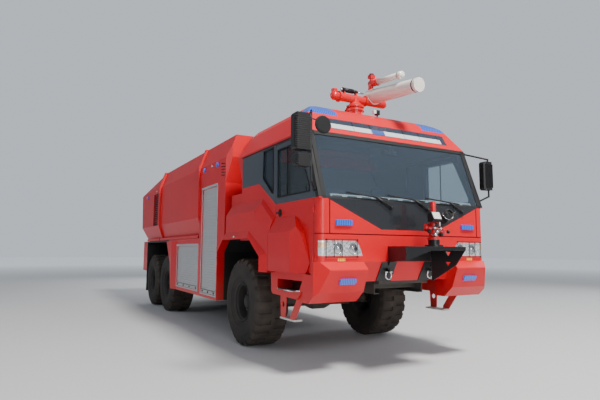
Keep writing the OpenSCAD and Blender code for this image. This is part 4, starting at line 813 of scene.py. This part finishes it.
def addBodyTrim():
    slats = [sidePart(intake["slat"], *intake["slatS"], z, z) for z in run(*intake["slats"])]
    addPiece("intakeSlats", bothSides(slats), bevel=0.004)

    s0, s1 = collar["s"]
    slots = [((s0, y, z), (s1, y, z + collar["rise"]), collar["radius"])
             for y in (-collar["y"], collar["y"]) for z in run(*collar["rows"])]
    addPiece("collarSlots", bars(slots, facets=8), flat=True)

    (s0, s1), (z0, z1), edge = intake["s"], intake["z"], intake["edge"]
    rims = [(s0, s1, z0, z0 + edge), (s0, s1, z1 - edge, z1)]
    rims += [(s0, s0 + edge, z0, z1), (s1 - edge, s1, z0, z1)]
    addPiece("intakeFrame", bothSides([sidePart(intake["frame"], *rim) for rim in rims]), bevel=0.003)

    y0, y1 = bolt["y"]
    bolts = [((s, side * y0, z), (s, side * y1, z), bolt["radius"])
             for side in (-1, 1) for s in bolt["s"] for z in bolt["z"]]
    addPiece("lockerBolts", bars(bolts, facets=8), "bright", flat=True)

    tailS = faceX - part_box("body_rear")[0][0]
    rows = []
    for z in run(*louvre["rows"]):
        skinS = tailS - (louvre["leanFrom"] - z - louvre["tall"] / 2) * louvre["lean"]
        rows.append((skinS - louvre["deep"], skinS - louvre["gap"], *louvre["y"], z, z + louvre["tall"]))
    addPiece("tailLouvres", blocks(rows), bevel=0.004)


# Mirrors: glass on the rear faces, ribs round the two right-hand housings, and the rim of the round one
mirror = {"glass": [(-0.0048, -0.001, -1.838, -1.624, 2.76, 3.17), (0.1252, 0.129, 1.556, 1.723, 2.505, 2.91),
                    (-0.0048, -0.001, -1.818, -1.624, 2.555, 2.685)],
          "ribs": [((-1.849, -1.62), (2.772, 0.026, 15)), ((-1.829, -1.62), (2.567, 0.026, 5))],
          "ribS": (-0.117, -0.012), "ribTall": 0.008, "rim": [((-0.093, -1.45, 3.08), (1, 0, 0), 0.1, 0.014)]}


def addMirrorParts():
    ribs = [(*mirror["ribS"], *y, z, z + mirror["ribTall"]) for y, rows in mirror["ribs"] for z in run(*rows)]
    addPiece("mirrorGlass", blocks(mirror["glass"]), "bright", bevel=0.001)
    addPiece("mirrorRibs", blocks(ribs), "black", bevel=0.002)
    addPiece("kerbMirrorRim", rings(mirror["rim"]))


# Wipers: pivot, arm and blade as station, shift across and height of both ends, and a radius
wiper = {"y": (-0.33, 0.33, 1.0),
         "arms": [((-0.036, 0, 2.11), (-0.005, 0, 2.11), 0.023),
                  ((-0.024, 0, 2.11), (-0.018, -0.25, 2.24), 0.014)],
         "blades": [((-0.014, -0.72, 2.278), (-0.022, -0.07, 2.224), 0.01)]}


def wiperBars(rows):
    return bars([((s0, y + y0, z0), (s1, y + y1, z1), radius)
                 for y in wiper["y"] for (s0, y0, z0), (s1, y1, z1), radius in rows])


def addWiperParts():
    addPiece("wiperArms", wiperBars(wiper["arms"]), "black")
    addPiece("wiperBlades", wiperBars(wiper["blades"]))


# Bumper turret: parts as width, height and radius, and pipes as two ends, a shift back and a radius
turret = {"s": -0.29, "z": 1.92, "valveOut": 0.078, "stemShare": 0.6, "leverOut": 0.06, "knobOut": 0.05,
          "valves": [(0.09, 1.845, 0.024), (0.135, 1.8, 0.026), (0.1, 1.755, 0.03), (0.2, 1.835, 0.018)],
          "lever": (0.2, 1.86, 1.96, 0.011),
          "pipes": [(0.15, 1.8, 0.3, 1.79, 0, 0.036), (0.3, 1.76, 0.3, 1.83, 0, 0.03),
                    (0.15, 1.83, 0.03, 1.84, 0, 0.036), (0.03, 1.8, 0.03, 1.9, 0.01, 0.03),
                    (0.26, 1.76, 0.36, 1.79, 0, 0.022)],
          "knobs": [(0.02, 1.8, 0.028), (0.235, 1.76, 0.026), (0.365, 1.8, 0.024), (0.17, 1.76, 0.02)],
          "collar": (0.12, 0.18, 1.885, 0.066)}
# Its nozzle, by distances along the raised barrel, and its floodlight
nozzle = {"y": 0.282, "rise": math.radians(38), "sleeve": (0.05, 0.2, 0.062, 0.064),
          "hoops": [(0.2, 0.055, 0.009), (0.075, 0.062, 0.006)], "ring": (0.14, 0.063, 0.004),
          "handle": ((0.13, 0.1, 0.02), (0.16, 0.16, 0.04), 0.02),
          "stem": ((0.1, 0.05, 0), (0.11, 0.1, 0.01), 0.018), "knob": ((0.11, 0.11, 0.01), 0.026)}
flood = {"place": (-0.395, 0.075, 1.985), "tilt": math.radians(28), "box": (0.07, 0.15, 0.125),
         "face": (0.004, 0.125, 0.1), "faceOut": 0.036}


def addNozzleParts():
    ahead = Vector((math.cos(nozzle["rise"]), 0, math.sin(nozzle["rise"])))
    pivot = at(turret["s"], nozzle["y"], turret["z"])

    def on(along, y=0.0, z=0.0):
        return pivot + ahead * along + Vector((0, y, z))

    def trim(work, hoops, rod):
        for along, radius, thick in hoops:
            ring(work, on(along), ahead, radius, thick)
        a, b, thick = rod
        bar(work, on(*a), on(*b), thick)

    def sleeve(work):
        start, end, radius, endRadius = nozzle["sleeve"]
        bar(work, on(start), on(end), radius, endRadius, 32)
        trim(work, nozzle["hoops"], nozzle["handle"])

    def rings(work):
        trim(work, [nozzle["ring"]], nozzle["stem"])
        middle, radius = nozzle["knob"]
        ball(work, on(*middle), radius)

    addPiece("nozzleSleeve", sleeve, "black", "turret_nozzle")
    addPiece("nozzleRings", rings, "bright", "turret_nozzle")


def addTurretParts():
    addNozzleParts()
    s = turret["s"]

    def valves(work):
        for y, z, radius in turret["valves"]:
            front = at(s - turret["valveOut"], y, z)
            ball(work, front, radius)
            bar(work, at(s, y, z), front, radius * turret["stemShare"])
        leverS = s - turret["leverOut"]
        y, z0, z1, thick = turret["lever"]
        bar(work, at(leverS, y, z0), at(leverS, y, z1), thick)

    pipes = [((s + back, y0, z0), (s + back, y1, z1), thick)
             for y0, z0, y1, z1, back, thick in turret["pipes"]]

    def knobs(work):
        for y, z, radius in turret["knobs"]:
            ball(work, at(s - turret["knobOut"], y, z), radius)
        y0, y1, z, thick = turret["collar"]
        bar(work, at(s, y0, z), at(s, y1, z), thick)

    def lampPart(shift, size):
        tilt = Matrix.Rotation(-flood["tilt"], 4, "Y")
        place = moved(at(*flood["place"])) @ tilt @ moved((shift, 0, 0))
        return lambda work: turnedBox(work, place, size)

    addPiece("turretValves", valves, "bright", "turret_head")
    addPiece("turretPipes", bars(pipes, facets=20), "fitting", "turret_head")
    addPiece("turretKnobs", knobs, "black", "turret_head")
    addPiece("floodlightBox", lampPart(0, flood["box"]), "black", "turret_head", bevel=0.006)
    addPiece("floodlightFace", lampPart(flood["faceOut"], flood["face"]), "white", "turret_head",
             bevel=0.001)


# Web plate against the tray's left gusset, as distances from the back corner and heights, and a black plate
# across the front below the tray that is a painted shadow of the tray
web = {"corner": 0.385, "turn": math.atan2(0.13, 0.5), "in": 0.0125, "thick": 0.006,
       "outline": [(0.004, 1.583), (0.504, 1.583), (0.504, 1.54), (0.383, 1.36), (0.03, 1.14), (0.004, 1.14)],
       "holes": [[(0.3, 1.53), (0.225, 1.54), (0.262, 1.475)],
                 [(0.225, 1.397), (0.298, 1.397), (0.256, 1.343)]],
       # back: black plate below the tray, a painted shadow cast by the tray on the front
       "back": (-0.011, -0.005, -0.36, 0.36, 1.405, 1.583)}


def addTrayWeb():
    ahead = Vector((math.cos(web["turn"]), math.sin(web["turn"]), 0))
    inboard = Vector((math.sin(web["turn"]), -math.cos(web["turn"]), 0))
    corner = at(0, web["corner"], 0) + inboard * web["in"]

    def plate(work):
        edges = []
        for loop in [web["outline"]] + web["holes"]:
            verts = [work.verts.new(corner + ahead * d + Vector((0, 0, z))) for d, z in loop]
            edges += [work.edges.new(pair) for pair in zip(verts, verts[1:] + verts[:1])]
        bmesh.ops.triangle_fill(work, use_beauty=True, edges=edges)
        made = bmesh.ops.extrude_face_region(work, geom=work.faces[:])["geom"]
        far = [part for part in made if isinstance(part, bmesh.types.BMVert)]
        bmesh.ops.translate(work, vec=inboard * web["thick"], verts=far)
        # the black plate below the tray is painted shadow
        block(work, *web["back"])

    addPiece("trayWebAndShadowPlate", plate, "tray", flat=True)


# Monitor: tube parts as distances along it and a radius, drive, lines and roof camera
monitor = {"tube": [(0.19, 0.74, 0.05), (0.7, 0.777, 0.058)],
           "elbow": [(-0.02, 0.2, 0.055), (0.17, 0.195, 0.062)],
           "rod": [(0.08, 0.215, 4.155, 0.011), (-0.24, -0.2, 4.155, 0.016)],
           "motor": [(-0.21, 0.0, 4.158, 0.038), (0.0, 0.06, 4.158, 0.031)],
           "camera": [(0.765, 0.835, 0.06, 0.12, 3.64, 3.715), (0.79, 0.81, 0.08, 0.1, 3.6, 3.645)],
           "cameraBox": [(0.775, 0.83, 0.01, 0.058, 3.655, 3.71)],
           "lines": [([(1.42, -0.12, 3.602), (1.42, -0.12, 3.78), (1.38, -0.09, 3.86)], 0.013),
                     ([(1.46, -0.1, 3.602), (1.46, -0.1, 3.7), (1.38, -0.05, 3.74)], 0.009)]}


# Place on the barrel's small tube, at a distance along it
def onTube(along):
    c, d, up = math.cos(barrel["dip"]), math.sin(barrel["dip"]), barrel["tubeUp"]
    start = faceX - barrel["s"]
    return Vector((start + along * c + up * d, barrel["tubeY"], barrel["z"] - along * d + up * c))


def addMonitorParts():
    def tube(rows):
        return each(rows, lambda work, a, b, radius: bar(work, onTube(a), onTube(b), radius, facets=32))

    def across(rows):
        return bars([((barrel["s"], y0, z), (barrel["s"], y1, z), radius) for y0, y1, z, radius in rows])

    addPiece("tiltRod", across(monitor["rod"]), "bright", "monitor_arm")
    addPiece("tiltMotor", across(monitor["motor"]), "black", "monitor_arm")
    addPiece("smallTubeSleeve", tube(monitor["tube"]), "cream", "monitor_barrel")
    addPiece("smallTubeElbow", tube(monitor["elbow"]), "fitting", "monitor_barrel")
    addPiece("roofCamera", blocks(monitor["camera"]), "black", bevel=0.006)
    addPiece("cameraBox", blocks(monitor["cameraBox"]), "white", bevel=0.004)
    lines = [row for points, radius in monitor["lines"] for row in route(points, radius)]
    addPiece("monitorLines", bars(lines))


# Window outlines as stations and heights, each with a rubber seal round it
windows = {"door": [(0.23, 2.295), (0.23, 2.36), (0.529, 2.985), (1.14, 2.985), (1.14, 2.295)],
           "quarter": [(1.296, 3.05), (1.631, 3.05), (1.651, 2.655), (1.626, 2.612), (1.326, 2.376),
                       (1.296, 2.376)],
           "slider": [((0.85, 2.295), (0.85, 2.985))], "sealR": 0.01, "sealOut": 0.001,
           "gutter": (0.36, 2.5, cabHalf - 0.004, cabHalf + 0.012, 3.078, 3.096)}
# Door handles: a round cup in the skin and a grip across it
handle = {"s": 1.06, "z": 2.066, "cupR": 0.055, "cupHalf": 0.004, "gripOut": 0.028,
          "grip": [(1.0, 2.062), (1.12, 2.07)], "gripR": 0.0125}


def sealRound(points, side, extra=()):
    def build(work):
        y, radius = side * (cabHalf + windows["sealOut"]), windows["sealR"]
        for a, b in [*zip(points, points[1:] + points[:1]), *extra]:
            bar(work, at(a[0], y, a[1]), at(b[0], y, b[1]), radius, facets=12)
            ball(work, at(a[0], y, a[1]), radius)
    return build


def addDoorParts():
    for name, side in sides.items():
        door = "door_" + name
        inner, outer, out = (side * (cabHalf + shift)
                             for shift in (-handle["cupHalf"], handle["cupHalf"], handle["gripOut"]))
        cup = [((handle["s"], inner, handle["z"]), (handle["s"], outer, handle["z"]), handle["cupR"])]
        grip = route([(s, out, z) for s, z in handle["grip"]], handle["gripR"])
        seal = sealRound(windows["door"], side, windows["slider"])
        addPiece("handleCup_" + name, bars(cup, facets=32), body=door, flat=True)
        addPiece("handleGrip_" + name, bars(grip), "black", door)
        addPiece("doorSeal_" + name, seal, body=door)
        addPiece("quarterSeal_" + name, sealRound(windows["quarter"], side))
    addPiece("eavesGutters", bothSides([windows["gutter"]]), bevel=0.004)


# Grab bar along the foot of each step's hole, as station, distance past the skin and height
stepBar = {"points": [(1.14, -0.01, 1.02), (1.08, 0.008, 1.01), (0.64, 0.008, 1.004), (0.49, -0.01, 1.022)],
           "radius": 0.011}


def addStepBars():
    rows = []
    for side in (-1, 1):
        points = [(s, side * (cabHalf + beyond), z) for s, beyond, z in stepBar["points"]]
        rows += route(points, stepBar["radius"])
    addPiece("stepBars", bars(rows), "bright")


# Seats: a plain frame, and cushions as back, front, half width, foot, head and lean
seat = {"s": 0.85, "y": 0.64, "top": 1.78, "base": (0.06, 0.4, 0.2, -0.125), "rods": (-0.07, 0.07),
        "rod": ((0.635, 0.57), (0.65, 0.69), 0.008),
        "pads": {"seatPan": (0.52, 0.0, 0.235, -0.13, 0.0, 0.0),
                 "seatBack": (0.62, 0.52, 0.235, 0.0, 0.62, 0.24),
                 "headRest": (0.715, 0.635, 0.13, 0.66, 0.82, 0.2)}}
# How a cushion's box swells: less than full near its edges
crown = {"trim": 0.03, "cuts": 5, "rise": 0.018, "least": 0.3, "steep": 3, "smooth": 0.5}


def swellShare(inward):
    return crown["least"] + (1 - crown["least"]) * min(1, crown["steep"] * inward)


def cushion(name, low, high, lean):
    def build(work):
        size = high - low
        turnedBox(work, Matrix.Identity(4), size - Vector((1, 1, 1)) * crown["trim"])
        bmesh.ops.subdivide_edges(work, edges=work.edges[:], cuts=crown["cuts"], use_grid_fill=True)
        for vert in work.verts:
            inward = [1 - abs(vert.co[i]) / (size[i] / 2) for i in range(3)]
            share = swellShare(inward[1]) * swellShare(max(inward[0], inward[2]))
            vert.co += vert.co.normalized() * crown["rise"] * share
        bmesh.ops.smooth_vert(work, verts=work.verts, factor=crown["smooth"],
                              use_axis_x=True, use_axis_y=True, use_axis_z=True)
        place = moved((low + high) / 2) @ Matrix.Rotation(-lean, 4, "Y")
        bmesh.ops.transform(work, matrix=place, verts=work.verts)

    piece = addPiece(name, build, "seat")
    rounding = piece.modifiers.new("rounding", "SUBSURF")
    rounding.levels = rounding.render_levels = 1


def addSeats():
    s, top = seat["s"], seat["top"]

    def frames(work):
        front, back, half, rise = seat["base"]
        (s0, z0), (s1, z1), radius = seat["rod"]
        for y in (-seat["y"], seat["y"]):
            block(work, s + front, s + back, y - half, y + half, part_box("seats")[0][2], top + rise)
            for shift in seat["rods"]:
                bar(work, at(s + s0, y + shift, top + z0), at(s + s1, y + shift, top + z1), radius)

    base = addPiece("seatFrames", frames, "dash", bevel=0.01)
    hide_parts("seats")
    for name, side in sides.items():
        y = side * seat["y"]
        for part, (back, front, half, foot, head, lean) in seat["pads"].items():
            low, high = at(s + back, y - half, top + foot), at(s + front, y + half, top + head)
            cushion(part + "_" + name, low, high, lean)


def addFloor():
    work = bmesh.new()
    bmesh.ops.create_grid(work, x_segments=1, y_segments=1, size=studio["floorReach"])
    mesh = meshOf("floor", work)
    material, net, shader = startMaterial("paleFloor")
    span = net.node("VectorMath", operation="LENGTH")
    net.feed(net.place(), span.inputs[0])
    past = net.minus(span.outputs["Value"], studio["fadeFrom"])
    far = net.math("DIVIDE", past, studio["fadeOver"], clamp=True)
    grain = useGroup(net, "fineGrain", Scale=40.0, Strength=0.08)["Normal"]
    net.fill(shader, {"Base Color": net.mix(far, studio["nearFloor"], studio["farFloor"]),
                      "Emission Color": studio["sky"], "Normal": grain, "Roughness": 0.75,
                      "Emission Strength": net.times(far, studio["backdrop"]), "Specular IOR Level": 0.2})
    mesh.materials.append(material)
    floor = addObject("floor", mesh)


addCamera()
addLights()
addFloor()
dressNodes()
addScreenTrim()
addLampParts()
addWheelParts()
print("cab and wheels trimmed")
addShutterTrim()
addBodyTrim()
addMirrorParts()
addWiperParts()
addStepBars()
addDoorParts()
print("body trimmed")
addTrayWeb()
addTurretParts()
addMonitorParts()
addSeats()
print("monitor, turret and seats done")
